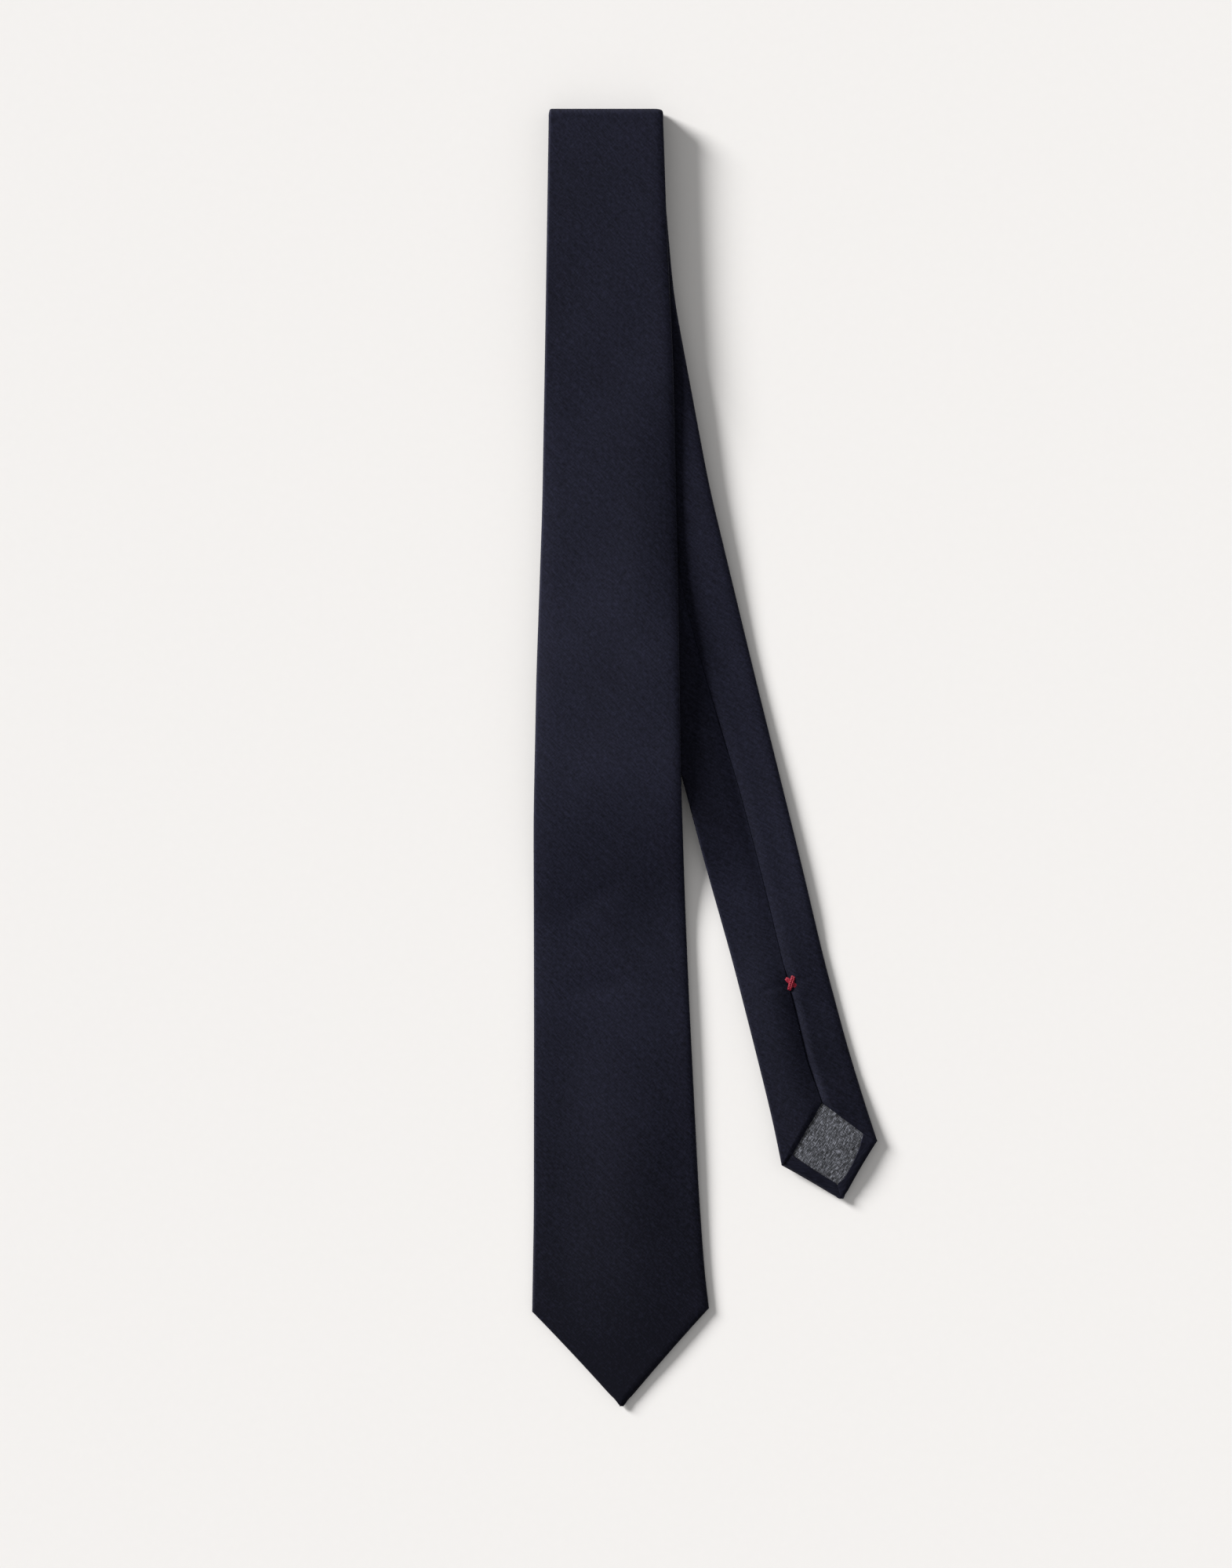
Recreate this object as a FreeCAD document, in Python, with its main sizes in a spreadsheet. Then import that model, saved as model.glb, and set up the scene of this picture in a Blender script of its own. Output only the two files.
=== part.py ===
import FreeCAD, Part
import math
import os

import Sketcher
from FreeCAD import Placement, Rotation, Vector

# A necktie lying flat, folded for display. X runs across it, Y along it towards the top fold and Z up
# from the surface that it lies on. The blade is on top, face up. The neck is tucked under it in two
# layers, and the tail comes out between the tuck and the blade, back up.

# Driving dimensions, in millimetres and degrees.
SIZES = {
    # cloth
    "strip_thick": 3.0,
    "layer_gap": 0.5,
    "wall_thick": 0.5,
    "fold_wall": 1.4,
    # folds along Y
    "top_fold_y": 312.2,
    "tuck_end_y": 199.0,
    # blade outline
    "blade_top_left_x": -75.0,
    "blade_top_right_x": -20.2,
    "blade_left_mid_x": -80.4,
    "blade_left_mid_y": 60.0,
    "blade_left_low_x": -82.3,
    "blade_left_low_y": -60.0,
    "blade_corner_left_x": -83.1,
    "blade_corner_left_y": -266.7,
    "blade_tip_x": -39.9,
    "blade_tip_y": -312.2,
    "blade_corner_right_x": 2.1,
    "blade_corner_right_y": -265.0,
    "blade_right_low_x": -6.6,
    "blade_right_low_y": -135.0,
    "blade_right_mid_x": -13.0,
    "blade_right_mid_y": 90.0,
    "blade_right_high_x": -16.6,
    "blade_right_high_y": 225.0,
    # neck outline
    "neck_top_left_x": -73.8,
    "neck_top_right_x": -21.4,
    "neck_end_left_x": -69.0,
    "neck_end_right_x": -22.5,
    # tail outline
    "tail_top_left_x": -66.8,
    "tail_top_right_x": -22.6,
    "tail_left_high_x": -60.4,
    "tail_left_high_y": 214.0,
    "tail_left_mid_x": -35.0,
    "tail_left_mid_y": 80.0,
    "tail_corner_left_x": 37.2,
    "tail_corner_left_y": -196.1,
    "tail_tip_x": 65.9,
    "tail_tip_y": -211.9,
    "tail_corner_right_x": 83.1,
    "tail_corner_right_y": -184.4,
    "tail_right_mid_x": 12.6,
    "tail_right_mid_y": 83.0,
    "tail_right_high_x": -14.6,
    "tail_right_high_y": 220.0,
    # the lay of the blade, which arches over the tail before it comes down on the surface
    "blade_dip_y": 125.0,
    "blade_dip_z": 9.6,
    "blade_arch_y": 15.0,
    "blade_arch_z": 12.0,
    "blade_land_y": -102.0,
    # where the strips bend, and how much of each bends
    "blade_bend_y": -140.0,
    "blade_bend_half": 22.0,
    "tail_turn_high_y": 252.0,
    "tail_turn_low_y": 180.0,
    "tail_bend_x": 26.0,
    "tail_bend_y": -62.0,
    "tail_bend_half": 18.0,
    "tail_tilt_deg": 14.5,
    # tipping windows
    "window_depth": 0.95,
    "window_seam_y": -171.0,
    "tipping_thick": 0.5,
    # keeper loop on the blade's back
    "keeper_y": -42.0,
    "keeper_width": 14.0,
    "keeper_length": 50.0,
    "keeper_thick": 0.45,
    "keeper_slack": 0.35,
    "keeper_sewn": 4.0,
    "keeper_tack_thick": 0.25,
    "keeper_tack_width": 1.2,
    "keeper_tack_inset": 1.0,
    # threads
    "stitch_radius": 0.14,
    "stitch_length": 7.0,
    "stitch_pitch": 16.0,
    "stitch_clearance": 0.03,
    "stitch_margin": 5.0,
    "seam_width": 0.8,
    "seam_depth": 0.35,
    "tack_arm": 9.0,
    "tack_radius": 0.3,
    "tail_tack_x": 41.4,
    "tail_tack_y": -108.4,
    "blade_tack_y": -172.0,
    # panel seams inside the neck
    "panel_seam_blade_y": 262.0,
    "panel_seam_tail_y": 262.0,
    "panel_seam_rise": 36.0,
    "panel_stitch_length": 2.4,
    "panel_stitch_pitch": 3.2,
    "panel_seam_inset": 6.0,
}

FAR = 400.0

doc = FreeCAD.newDocument("necktie")
sheet = doc.addObject("Spreadsheet::Sheet", "sizes")
for row, (alias, value) in enumerate(SIZES.items(), start=1):
    sheet.set("A%d" % row, alias)
    sheet.set("B%d" % row, str(value))
    sheet.setAlias("B%d" % row, alias)
doc.recompute()


def size(alias):
    return float(sheet.get(alias))


# Heights of the four layers at the tuck, from the surface up.
THICK = size("strip_thick")
STEP = THICK + size("layer_gap")
LAYERS = 4
LAYER_Z = [layer * STEP for layer in range(LAYERS)]
LOOP_Z = (LAYER_Z[-1] + THICK) / 2
LOOP_OUTER = LOOP_Z
LOOP_INNER = LOOP_OUTER - THICK
NEST_OUTER = LOOP_INNER - size("layer_gap")
LOOP_Y = size("top_fold_y") - LOOP_OUTER
TUCK_OUTER = (LAYER_Z[1] + THICK) / 2
TUCK_Y = size("tuck_end_y") + TUCK_OUTER


def eased(start, end, steps):
    """Stations that leave one height level and reach another level, without a kink."""
    stations = []
    for step in range(1, steps + 1):
        share = step / steps
        rise = (1 - math.cos(math.pi * share)) / 2
        stations.append((start[0] + (end[0] - start[0]) * share, start[1] + (end[1] - start[1]) * rise))
    return stations


# Stations of the lay: distance along Y, and the height of a strip's underside there.
STACK_END_Y = 205.0
TAIL_LAY = [
    (LOOP_Y, LAYER_Z[2]),
    (STACK_END_Y, LAYER_Z[2]),
    (176.0, 5.7),
    (131.0, 3.4),
    (86.0, 1.4),
    (55.0, 0.0),
    (-FAR, 0.0),
]
STACK_END = (STACK_END_Y, LAYER_Z[3])
DIP = (size("blade_dip_y"), size("blade_dip_z"))
ARCH = (size("blade_arch_y"), size("blade_arch_z"))
LANDING = (size("blade_land_y"), 0.0)
BLADE_LAY = [(LOOP_Y, LAYER_Z[3]), STACK_END]
BLADE_LAY += eased(STACK_END, DIP, 4) + eased(DIP, ARCH, 6) + eased(ARCH, LANDING, 10)
BLADE_LAY.append((-FAR, 0.0))

# Corners of the window of lining in the back of each tip.
BLADE_WINDOW = [(-40.0, -295.0), (-10.5, -266.0), (-40.4, -226.0), (-70.0, -267.5)]
TAIL_WINDOW = [(56.5, -167.0), (76.1, -181.0), (62.9, -204.4), (42.1, -191.5)]


def add_feature(name, shape):
    """A document object that holds a shape worked out from the sheet's sizes."""
    feature = doc.addObject("Part::Feature", name)
    feature.Shape = shape
    return feature


def region_box(name, low, high):
    """A box that keeps the stretch between two places along Y, each an expression of the sheet."""
    box = doc.addObject("Part::Box", name)
    box.Length = 2 * FAR
    box.Height = 2 * FAR
    box.Placement = Placement(Vector(-FAR, 0, -FAR), Rotation())
    box.setExpression("Placement.Base.y", low)
    box.setExpression("Width", "(%s) - (%s)" % (high, low))
    return box


def tilted_box(name, along_high, depth):
    """A box across the tail, measured along it from its bend; depth is an expression of the sheet."""
    box = doc.addObject("Part::Box", name)
    box.Length = 2 * FAR
    box.Height = 2 * FAR
    box.setExpression("Width", depth)
    doc.recompute()
    bend = Vector(size("tail_bend_x"), size("tail_bend_y"), 0)
    turn = Rotation(Vector(0, 0, 1), size("tail_tilt_deg"))
    corner = Vector(-FAR, along_high - box.Width.Value, -FAR)
    box.Placement = Placement(bend + turn.multVec(corner), turn)
    return box


def boolean(kind, name, base, tool):
    """Part::Common, Part::Cut or Part::Fuse of two document objects."""
    result = doc.addObject("Part::" + kind, name)
    result.Base = base
    result.Tool = tool
    return result


def outline_sketch(name, corners):
    """A closed flat outline of straight edges; every corner's place is bound to the sheet."""
    sketch = doc.addObject("Sketcher::SketchObject", name)
    points = [Vector(size(x), size(y), 0) for x, y in corners]
    count = len(points)
    for index, start in enumerate(points):
        sketch.addGeometry(Part.LineSegment(start, points[(index + 1) % count]), False)
    for index in range(count):
        sketch.addConstraint(Sketcher.Constraint("Coincident", index, 2, (index + 1) % count, 1))
    for index, (x_alias, y_alias) in enumerate(corners):
        for direction, alias in (("DistanceX", x_alias), ("DistanceY", y_alias)):
            number = sketch.addConstraint(Sketcher.Constraint(direction, -1, 1, index, 1, size(alias)))
            sketch.setExpression("Constraints[%d]" % number, "sizes." + alias)
    return sketch


def extrude(name, base, direction, reach):
    """A solid prism of a face or closed wire."""
    prism = doc.addObject("Part::Extrusion", name)
    prism.Base = base
    prism.DirMode = "Custom"
    prism.Dir = direction
    prism.Solid = True
    prism.LengthFwd = reach
    prism.LengthRev = reach
    return prism


def inset(name, sketch):
    """The outline moved inwards by the thickness of the cloth at the folded edge."""
    offset = doc.addObject("Part::Offset2D", name)
    offset.Source = sketch
    offset.Join = 2
    offset.setExpression("Value", "-sizes.fold_wall")
    return offset


def polygon_face(points):
    """A flat face that looks towards +X or +Z, whichever way its points run."""
    face = Part.Face(Part.makePolygon(points + points[:1]))
    normal = face.normalAt(0, 0)
    if normal.x + normal.z > 0:
        return face
    backwards = points[::-1]
    return Part.Face(Part.makePolygon(backwards + backwards[:1]))


def lay_face(stations, low, high):
    """The side view of a strip between two heights above its underside."""
    lower = [Vector(0, y, z + low) for y, z in stations]
    upper = [Vector(0, y, z + high) for y, z in reversed(stations)]
    return polygon_face(lower + upper)


def half_ring(centre_y, centre_z, outer, inner, side):
    """The side view of a fold: half a ring that bulges towards +Y (side 1) or -Y (side -1)."""
    def point(radius, angle_deg):
        angle = math.radians(angle_deg)
        return Vector(0, centre_y + side * radius * math.cos(angle), centre_z + radius * math.sin(angle))

    outside = Part.Arc(point(outer, -90), point(outer, 0), point(outer, 90)).toShape()
    inside = Part.Arc(point(inner, 90), point(inner, 0), point(inner, -90)).toShape()
    top = Part.makeLine(point(outer, 90), point(inner, 90))
    bottom = Part.makeLine(point(inner, -90), point(outer, -90))
    face = Part.Face(Part.Wire([outside, top, inside, bottom]))
    if face.normalAt(0, 0).x < 0:
        backwards = [edge.reversed() for edge in (bottom, inside, top, outside)]
        face = Part.Face(Part.Wire(backwards))
    return face


def joined_faces(faces):
    """Faces that share edges, as one face."""
    return faces[0].multiFuse(faces[1:]).removeSplitter()


def blade_side(low, high):
    """Side view of the blade with the outer loop of the top fold."""
    ring = half_ring(LOOP_Y, LOOP_Z, LOOP_INNER + high, LOOP_INNER + low, 1)
    return joined_faces([lay_face(BLADE_LAY, low, high), ring])


def neck_side(low, high):
    """Side view of the neck: lower run, tuck fold, upper run, nested fold and the start of the tail."""
    flip_low, flip_high = THICK - high, THICK - low
    lower_run = lay_face([(TUCK_Y, LAYER_Z[0]), (LOOP_Y, LAYER_Z[0])], flip_low, flip_high)
    tuck = half_ring(TUCK_Y, TUCK_OUTER, TUCK_OUTER - flip_low, TUCK_OUTER - flip_high, -1)
    upper_run = lay_face([(TUCK_Y, LAYER_Z[1]), (LOOP_Y, LAYER_Z[1])], low, high)
    nest = half_ring(LOOP_Y, LOOP_Z, NEST_OUTER - low, NEST_OUTER - high, 1)
    tail_start = lay_face([(size("tail_turn_high_y"), LAYER_Z[2]), (LOOP_Y, LAYER_Z[2])], flip_low, flip_high)
    return joined_faces([lower_run, tuck, upper_run, nest, tail_start])


def tail_side(low, high):
    """Side view of the tail below the stretch that it shares with the neck."""
    stations = [(size("tail_turn_high_y"), LAYER_Z[2])] + TAIL_LAY[1:]
    return lay_face(stations, low, high)


BLADE_CORNERS = [
    ("blade_top_left_x", "top_fold_y"),
    ("blade_left_mid_x", "blade_left_mid_y"),
    ("blade_left_low_x", "blade_left_low_y"),
    ("blade_corner_left_x", "blade_corner_left_y"),
    ("blade_tip_x", "blade_tip_y"),
    ("blade_corner_right_x", "blade_corner_right_y"),
    ("blade_right_low_x", "blade_right_low_y"),
    ("blade_right_mid_x", "blade_right_mid_y"),
    ("blade_right_high_x", "blade_right_high_y"),
    ("blade_top_right_x", "top_fold_y"),
]
NECK_CORNERS = [
    ("neck_top_left_x", "top_fold_y"),
    ("neck_end_left_x", "tuck_end_y"),
    ("neck_end_right_x", "tuck_end_y"),
    ("neck_top_right_x", "top_fold_y"),
]
TAIL_CORNERS = [
    ("tail_top_left_x", "top_fold_y"),
    ("tail_left_high_x", "tail_left_high_y"),
    ("tail_left_mid_x", "tail_left_mid_y"),
    ("tail_corner_left_x", "tail_corner_left_y"),
    ("tail_tip_x", "tail_tip_y"),
    ("tail_corner_right_x", "tail_corner_right_y"),
    ("tail_right_mid_x", "tail_right_mid_y"),
    ("tail_right_high_x", "tail_right_high_y"),
    ("tail_top_right_x", "top_fold_y"),
]


def strip(name, corners, side):
    """A flattened sleeve of cloth and the interlining that fills it, over the whole strip."""
    outline = outline_sketch(name + "_outline", corners)
    outer_prism = extrude(name + "_outer_prism", outline, Vector(0, 0, 1), FAR)
    inner_prism = extrude(name + "_inner_prism", inset(name + "_inset", outline), Vector(0, 0, 1), FAR)
    wall = size("wall_thick")
    outer_side = add_feature(name + "_outer_side", side(0.0, THICK))
    inner_side = add_feature(name + "_inner_side", side(wall, THICK - wall))
    outer_band = extrude(name + "_outer_band", outer_side, Vector(1, 0, 0), FAR)
    inner_band = extrude(name + "_inner_band", inner_side, Vector(1, 0, 0), FAR)
    envelope = boolean("Common", name + "_envelope", outer_prism, outer_band)
    filling = boolean("Common", name + "_filling", inner_prism, inner_band)
    sleeve = boolean("Cut", name + "_sleeve", envelope, filling)
    return sleeve, filling


# The seam on the back of each strip: a shallow valley where the two flaps meet.
def seam_cutter(name, route, side_face):
    """A narrow ribbon along a route in plan, as deep as the side view given."""
    half = size("seam_width") / 2
    left = [Vector(x - half, y, 0) for x, y in route]
    right = [Vector(x + half, y, 0) for x, y in reversed(route)]
    ribbon = add_feature(name + "_ribbon", polygon_face(left + right))
    prism = extrude(name + "_prism", ribbon, Vector(0, 0, 1), FAR)
    band = extrude(name + "_band", add_feature(name + "_side", side_face), Vector(1, 0, 0), FAR)
    return boolean("Common", name, prism, band)


BLADE_SEAM = [(-47.6, 300.0), (-46.8, 90.0), (-45.0, -100.0), (-42.6, size("blade_tack_y"))]
NECK_SEAM = [(-46.0, 311.0), (-46.0, 200.0)]
TAIL_SEAM = [
    (-46.0, 300.0),
    (-36.5, 214.0),
    (-8.0, 70.0),
    (17.4, -14.0),
    (33.0, -66.0),
    (size("tail_tack_x"), size("tail_tack_y")),
    (57.3, size("window_seam_y")),
]


def route_point(route, y):
    """The route's X at a distance along Y."""
    for (x0, y0), (x1, y1) in zip(route, route[1:]):
        if y1 <= y <= y0:
            return x0 + (x1 - x0) * (y0 - y) / (y0 - y1)
    raise ValueError("the route does not pass Y %.1f" % y)


def lay_height(stations, y):
    """The height of a strip's underside at a distance along Y."""
    return route_point([(z, station) for station, z in stations], y)


def lay_stretch(stations, high, low):
    """The stations of a lay between two distances along Y, ends included."""
    inner = [station for station in stations if low < station[0] < high]
    return [(high, lay_height(stations, high))] + inner + [(low, lay_height(stations, low))]


def stitches(name, route, stations, top, y_high, y_low):
    """A row of slip stitches lying in the seam valley, all in one group. Where the strip curves, a
    stitch is kept as far from the cloth at its middle as at its ends."""
    radius = size("stitch_radius")
    sink = size("seam_depth") - radius - size("stitch_clearance")
    offset = THICK - sink if top else sink
    side = 1 if top else -1
    solids = []
    y = y_high
    while y - size("stitch_length") > y_low:
        y_end = y - size("stitch_length")
        high, low = lay_height(stations, y), lay_height(stations, y_end)
        bow = side * (lay_height(stations, (y + y_end) / 2) - (high + low) / 2)
        away = offset + side * max(bow, 0.0)
        start = Vector(route_point(route, y), y, high + away)
        end = Vector(route_point(route, y_end), y_end, low + away)
        solids.append(Part.makeCylinder(radius, (end - start).Length, start, end - start))
        y -= size("stitch_pitch")
    return add_feature(name, Part.makeCompound(solids))


def neck_stitches():
    """Slip stitches on the neck's three level runs, each on the side where its back is."""
    radius = size("stitch_radius")
    sink = size("seam_depth") - radius - size("stitch_clearance")
    margin = size("stitch_margin")
    high = LOOP_Y - margin
    runs = [
        (TUCK_Y + margin, high, LAYER_Z[0] + THICK - sink),
        (TUCK_Y + margin, high, LAYER_Z[1] + sink),
        (size("tail_turn_high_y") + margin, high, LAYER_Z[2] + THICK - sink),
    ]
    solids = []
    for low_y, high_y, z in runs:
        y = low_y
        while y + size("stitch_length") < high_y:
            start = Vector(route_point(NECK_SEAM, y), y, z)
            solids.append(Part.makeCylinder(radius, size("stitch_length"), start, Vector(0, 1, 0)))
            y += size("stitch_pitch")
    return add_feature("neck_slip_stitches", Part.makeCompound(solids))


def panel_thread(name, y_start, layer_z):
    """The row of machine stitches that joins two panels, on the bias across the neck."""
    inset_x = size("panel_seam_inset")
    left = Vector(size("neck_top_left_x") + inset_x, y_start, 0)
    right = Vector(size("neck_top_right_x") - inset_x, y_start + size("panel_seam_rise"), 0)
    along = (right - left).normalize()
    z = layer_z + THICK / 2
    solids = []
    place = 0.0
    while place + size("panel_stitch_length") < (right - left).Length:
        start = left + along * place + Vector(0, 0, z)
        solids.append(Part.makeCylinder(size("stitch_radius"), size("panel_stitch_length"), start, along))
        place += size("panel_stitch_pitch")
    return add_feature(name, Part.makeCompound(solids))


def diamond(name, corners, z_low, z_high):
    """A four-cornered prism, for a window in the back of a tip and the lining in it."""
    face = polygon_face([Vector(x, y, z_low) for x, y in corners])
    return add_feature(name, face.extrude(Vector(0, 0, z_high - z_low)))


def bar_tack(name, x, y, z_low, z_high):
    """Two crossed arms of thread."""
    arm = size("tack_arm")
    radius = size("tack_radius")
    bars = []
    for angle in (45.0, 135.0):
        bar = Part.makeBox(arm, 2 * radius, z_high - z_low, Vector(x - arm / 2, y - radius, z_low))
        bar.rotate(Vector(x, y, 0), Vector(0, 0, 1), angle + size("tail_tilt_deg") / 2)
        bars.append(bar)
    return add_feature(name, bars[0].fuse(bars[1]).removeSplitter())


def main():
    pieces = {}

    def keep(node, feature):
        feature.Label = node
        pieces[node] = feature

    def keep_stretch(node, solid, region):
        keep(node, boolean("Common", node, solid, region))

    seam_depth = size("seam_depth")
    window_depth = size("window_depth")
    tipping_thick = size("tipping_thick")

    # blade
    sleeve, filling = strip("blade", BLADE_CORNERS, blade_side)
    seam = seam_cutter("blade_seam", BLADE_SEAM, blade_side(0.0, seam_depth))
    window = diamond("blade_window", BLADE_WINDOW, 0.0, window_depth)
    keep("blade_tipping", diamond("blade_tipping", BLADE_WINDOW, window_depth - tipping_thick, window_depth))
    tack_x = route_point(BLADE_SEAM, size("blade_tack_y"))
    tack = bar_tack("blade_bar_tack", tack_x, size("blade_tack_y"), 0.0, seam_depth)
    keep("blade_bar_tack", tack)
    shell = boolean("Cut", "blade_shell_seamed", sleeve, seam)
    shell = boolean("Cut", "blade_shell_windowed", shell, window)
    shell = boolean("Cut", "blade_shell_tacked", shell, tack)
    lining = boolean("Cut", "blade_lining_windowed", filling, window)
    bend = size("blade_bend_y")
    half = size("blade_bend_half")
    bend_low = "sizes.blade_bend_y - sizes.blade_bend_half"
    bend_high = "sizes.blade_bend_y + sizes.blade_bend_half"
    loop_y = "sizes.top_fold_y - 2 * sizes.strip_thick - 1.5 * sizes.layer_gap"
    far_end = str(FAR)
    blade_stretches = {
        "top_fold": region_box("top_fold_region", loop_y, far_end),
        "blade_upper": region_box("blade_upper_region", bend_high, loop_y),
        "blade_bend": region_box("blade_bend_region", bend_low, bend_high),
        "blade_end": region_box("blade_end_region", "-" + far_end, bend_low),
    }
    for stretch, region in blade_stretches.items():
        keep_stretch(stretch + "_shell", shell, region)
        keep_stretch(stretch + "_interlining", lining, region)
    margin = size("stitch_margin")
    upper_end, tack_end = BLADE_SEAM[0][1] - margin, size("blade_tack_y")
    keep("blade_upper_slip_stitches",
         stitches("blade_upper_slip_stitches", BLADE_SEAM, BLADE_LAY, False, upper_end, bend + half))
    keep("blade_end_slip_stitches",
         stitches("blade_end_slip_stitches", BLADE_SEAM, BLADE_LAY, False, bend - half - 0.5, tack_end))

    # neck, with the two folds of the tuck in it
    sleeve, filling = strip("neck", NECK_CORNERS, neck_side)
    seam = seam_cutter("neck_seam", NECK_SEAM, neck_side(0.0, seam_depth))
    keep("neck_shell", boolean("Cut", "neck_shell", sleeve, seam))
    blade_thread = panel_thread("blade_neck_seam_thread", size("panel_seam_blade_y"), LAYER_Z[0])
    keep("blade_neck_seam_thread", blade_thread)
    tail_thread = panel_thread("neck_tail_seam_thread", size("panel_seam_tail_y"), LAYER_Z[2])
    keep("neck_tail_seam_thread", tail_thread)
    filling = boolean("Cut", "neck_filling_grooved", filling, blade_thread)
    keep("neck_interlining", boolean("Cut", "neck_interlining", filling, tail_thread))
    keep("neck_slip_stitches", neck_stitches())

    # tail
    sleeve, filling = strip("tail", TAIL_CORNERS, tail_side)
    seam = seam_cutter("tail_seam", TAIL_SEAM, tail_side(THICK - seam_depth, THICK))
    window_z = THICK - window_depth
    window = diamond("tail_window", TAIL_WINDOW, window_z, THICK)
    tipping = diamond("tail_tipping", TAIL_WINDOW, window_z, window_z + tipping_thick)
    keep("tail_tipping", tipping)
    tack = bar_tack("tail_bar_tack", size("tail_tack_x"), size("tail_tack_y"), THICK - seam_depth, THICK)
    keep("tail_bar_tack", tack)
    shell = boolean("Cut", "tail_shell_seamed", sleeve, seam)
    shell = boolean("Cut", "tail_shell_windowed", shell, window)
    shell = boolean("Cut", "tail_shell_tacked", shell, tack)
    lining = boolean("Cut", "tail_lining_windowed", filling, window)
    turn_low = size("tail_turn_low_y")
    bend_half = size("tail_bend_half")
    bend_top = size("tail_bend_y") + bend_half + margin
    bend_foot = size("tail_bend_y") - bend_half - margin
    stitch_end = size("tail_tack_y") + margin
    above_bend = tilted_box("tail_above_bend", bend_half + FAR, far_end)
    below_turn = region_box("tail_below_turn", "-" + far_end, "sizes.tail_turn_low_y")
    tail_stretches = {
        "tail_turn": region_box("tail_turn_region", "sizes.tail_turn_low_y", "sizes.tail_turn_high_y"),
        "tail_upper": boolean("Common", "tail_upper_region", above_bend, below_turn),
        "tail_bend": tilted_box("tail_bend_region", bend_half, "2 * sizes.tail_bend_half"),
        "tail_end": tilted_box("tail_end_region", -bend_half, far_end),
    }
    for stretch, region in tail_stretches.items():
        keep_stretch(stretch + "_shell", shell, region)
        keep_stretch(stretch + "_interlining", lining, region)
    keep("tail_upper_slip_stitches",
         stitches("tail_upper_slip_stitches", TAIL_SEAM, TAIL_LAY, True, turn_low - 1.0, bend_top))
    keep("tail_end_slip_stitches",
         stitches("tail_end_slip_stitches", TAIL_SEAM, TAIL_LAY, True, bend_foot, stitch_end))

    # keeper loop, a flat band sewn to the blade's back at both ends
    keeper_low = size("keeper_y") - size("keeper_width") / 2
    keeper_high = keeper_low + size("keeper_width")
    band_stations = lay_stretch(BLADE_LAY, keeper_high, keeper_low)
    keeper_thick = size("keeper_thick")
    drop = size("keeper_slack") + keeper_thick
    half_length = size("keeper_length") / 2
    centre_x = route_point(BLADE_SEAM, size("keeper_y"))
    keeper_solid = lay_face(band_stations, -drop, 0.0).extrude(Vector(2 * half_length, 0, 0))
    gap_half = half_length - size("keeper_sewn")
    gap_solid = lay_face(band_stations, -size("keeper_slack"), 0.0).extrude(Vector(2 * gap_half, 0, 0))
    keeper_solid.translate(Vector(centre_x - half_length, 0, 0))
    gap_solid.translate(Vector(centre_x - gap_half, 0, 0))
    keep("keeper_loop", add_feature("keeper_loop", keeper_solid.cut(gap_solid)))
    tack_face = lay_face(band_stations, -drop - size("keeper_tack_thick"), -drop)
    tack_width, tack_inset = size("keeper_tack_width"), size("keeper_tack_inset")
    tacks = []
    for tack_x in (centre_x - half_length + tack_inset, centre_x + half_length - tack_inset - tack_width):
        tack_solid = tack_face.extrude(Vector(tack_width, 0, 0))
        tack_solid.translate(Vector(tack_x, 0, 0))
        tacks.append(tack_solid)
    keep("keeper_tacks", add_feature("keeper_tacks", Part.makeCompound(tacks)))

    doc.recompute()
    broken = [item.Name for item in doc.Objects if "Invalid" in item.State or "Error" in item.State]
    if broken:
        raise RuntimeError("objects that failed: " + ", ".join(broken))
    os.makedirs("parts", exist_ok=True)
    for node, feature in pieces.items():
        shape = feature.Shape
        if shape.isNull() or not shape.isValid() or not shape.Solids:
            raise RuntimeError("no valid solid in " + node)
        shape.exportStep(os.path.join("parts", node + ".step"))
        box = shape.BoundBox
        print("%-28s solids %3d  volume %9.1f  X %7.1f %7.1f  Y %7.1f %7.1f  Z %6.2f %6.2f" % (
            node, len(shape.Solids), shape.Volume,
            box.XMin, box.XMax, box.YMin, box.YMax, box.ZMin, box.ZMax))


main()
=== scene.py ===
import math

import bmesh
import bpy
import numpy as np
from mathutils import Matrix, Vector


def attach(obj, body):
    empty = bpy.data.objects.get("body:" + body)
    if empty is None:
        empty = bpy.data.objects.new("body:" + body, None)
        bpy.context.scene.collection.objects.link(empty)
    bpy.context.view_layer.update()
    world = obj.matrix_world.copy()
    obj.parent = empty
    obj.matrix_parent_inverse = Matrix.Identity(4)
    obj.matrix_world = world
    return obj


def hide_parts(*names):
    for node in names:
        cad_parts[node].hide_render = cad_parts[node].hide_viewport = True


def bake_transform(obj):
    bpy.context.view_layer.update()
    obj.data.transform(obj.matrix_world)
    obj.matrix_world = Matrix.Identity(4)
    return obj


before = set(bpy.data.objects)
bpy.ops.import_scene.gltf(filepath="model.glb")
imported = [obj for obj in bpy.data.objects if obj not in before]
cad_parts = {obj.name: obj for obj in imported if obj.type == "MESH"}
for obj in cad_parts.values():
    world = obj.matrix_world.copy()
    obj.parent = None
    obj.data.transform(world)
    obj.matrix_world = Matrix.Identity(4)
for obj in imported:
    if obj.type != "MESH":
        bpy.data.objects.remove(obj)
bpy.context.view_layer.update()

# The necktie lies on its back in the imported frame: X across, Y towards the top fold, Z up. Lengths are
# in millimetres here, and a mesh turns them into metres when it is made. The cloth is one long sleeve
# that runs from the blade's tip over the top fold, under itself through the tuck, and out to the tail's
# tip. It is made of stations: lines across the sleeve, from its -X edge to its +X edge.

MM = 0.001


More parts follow.
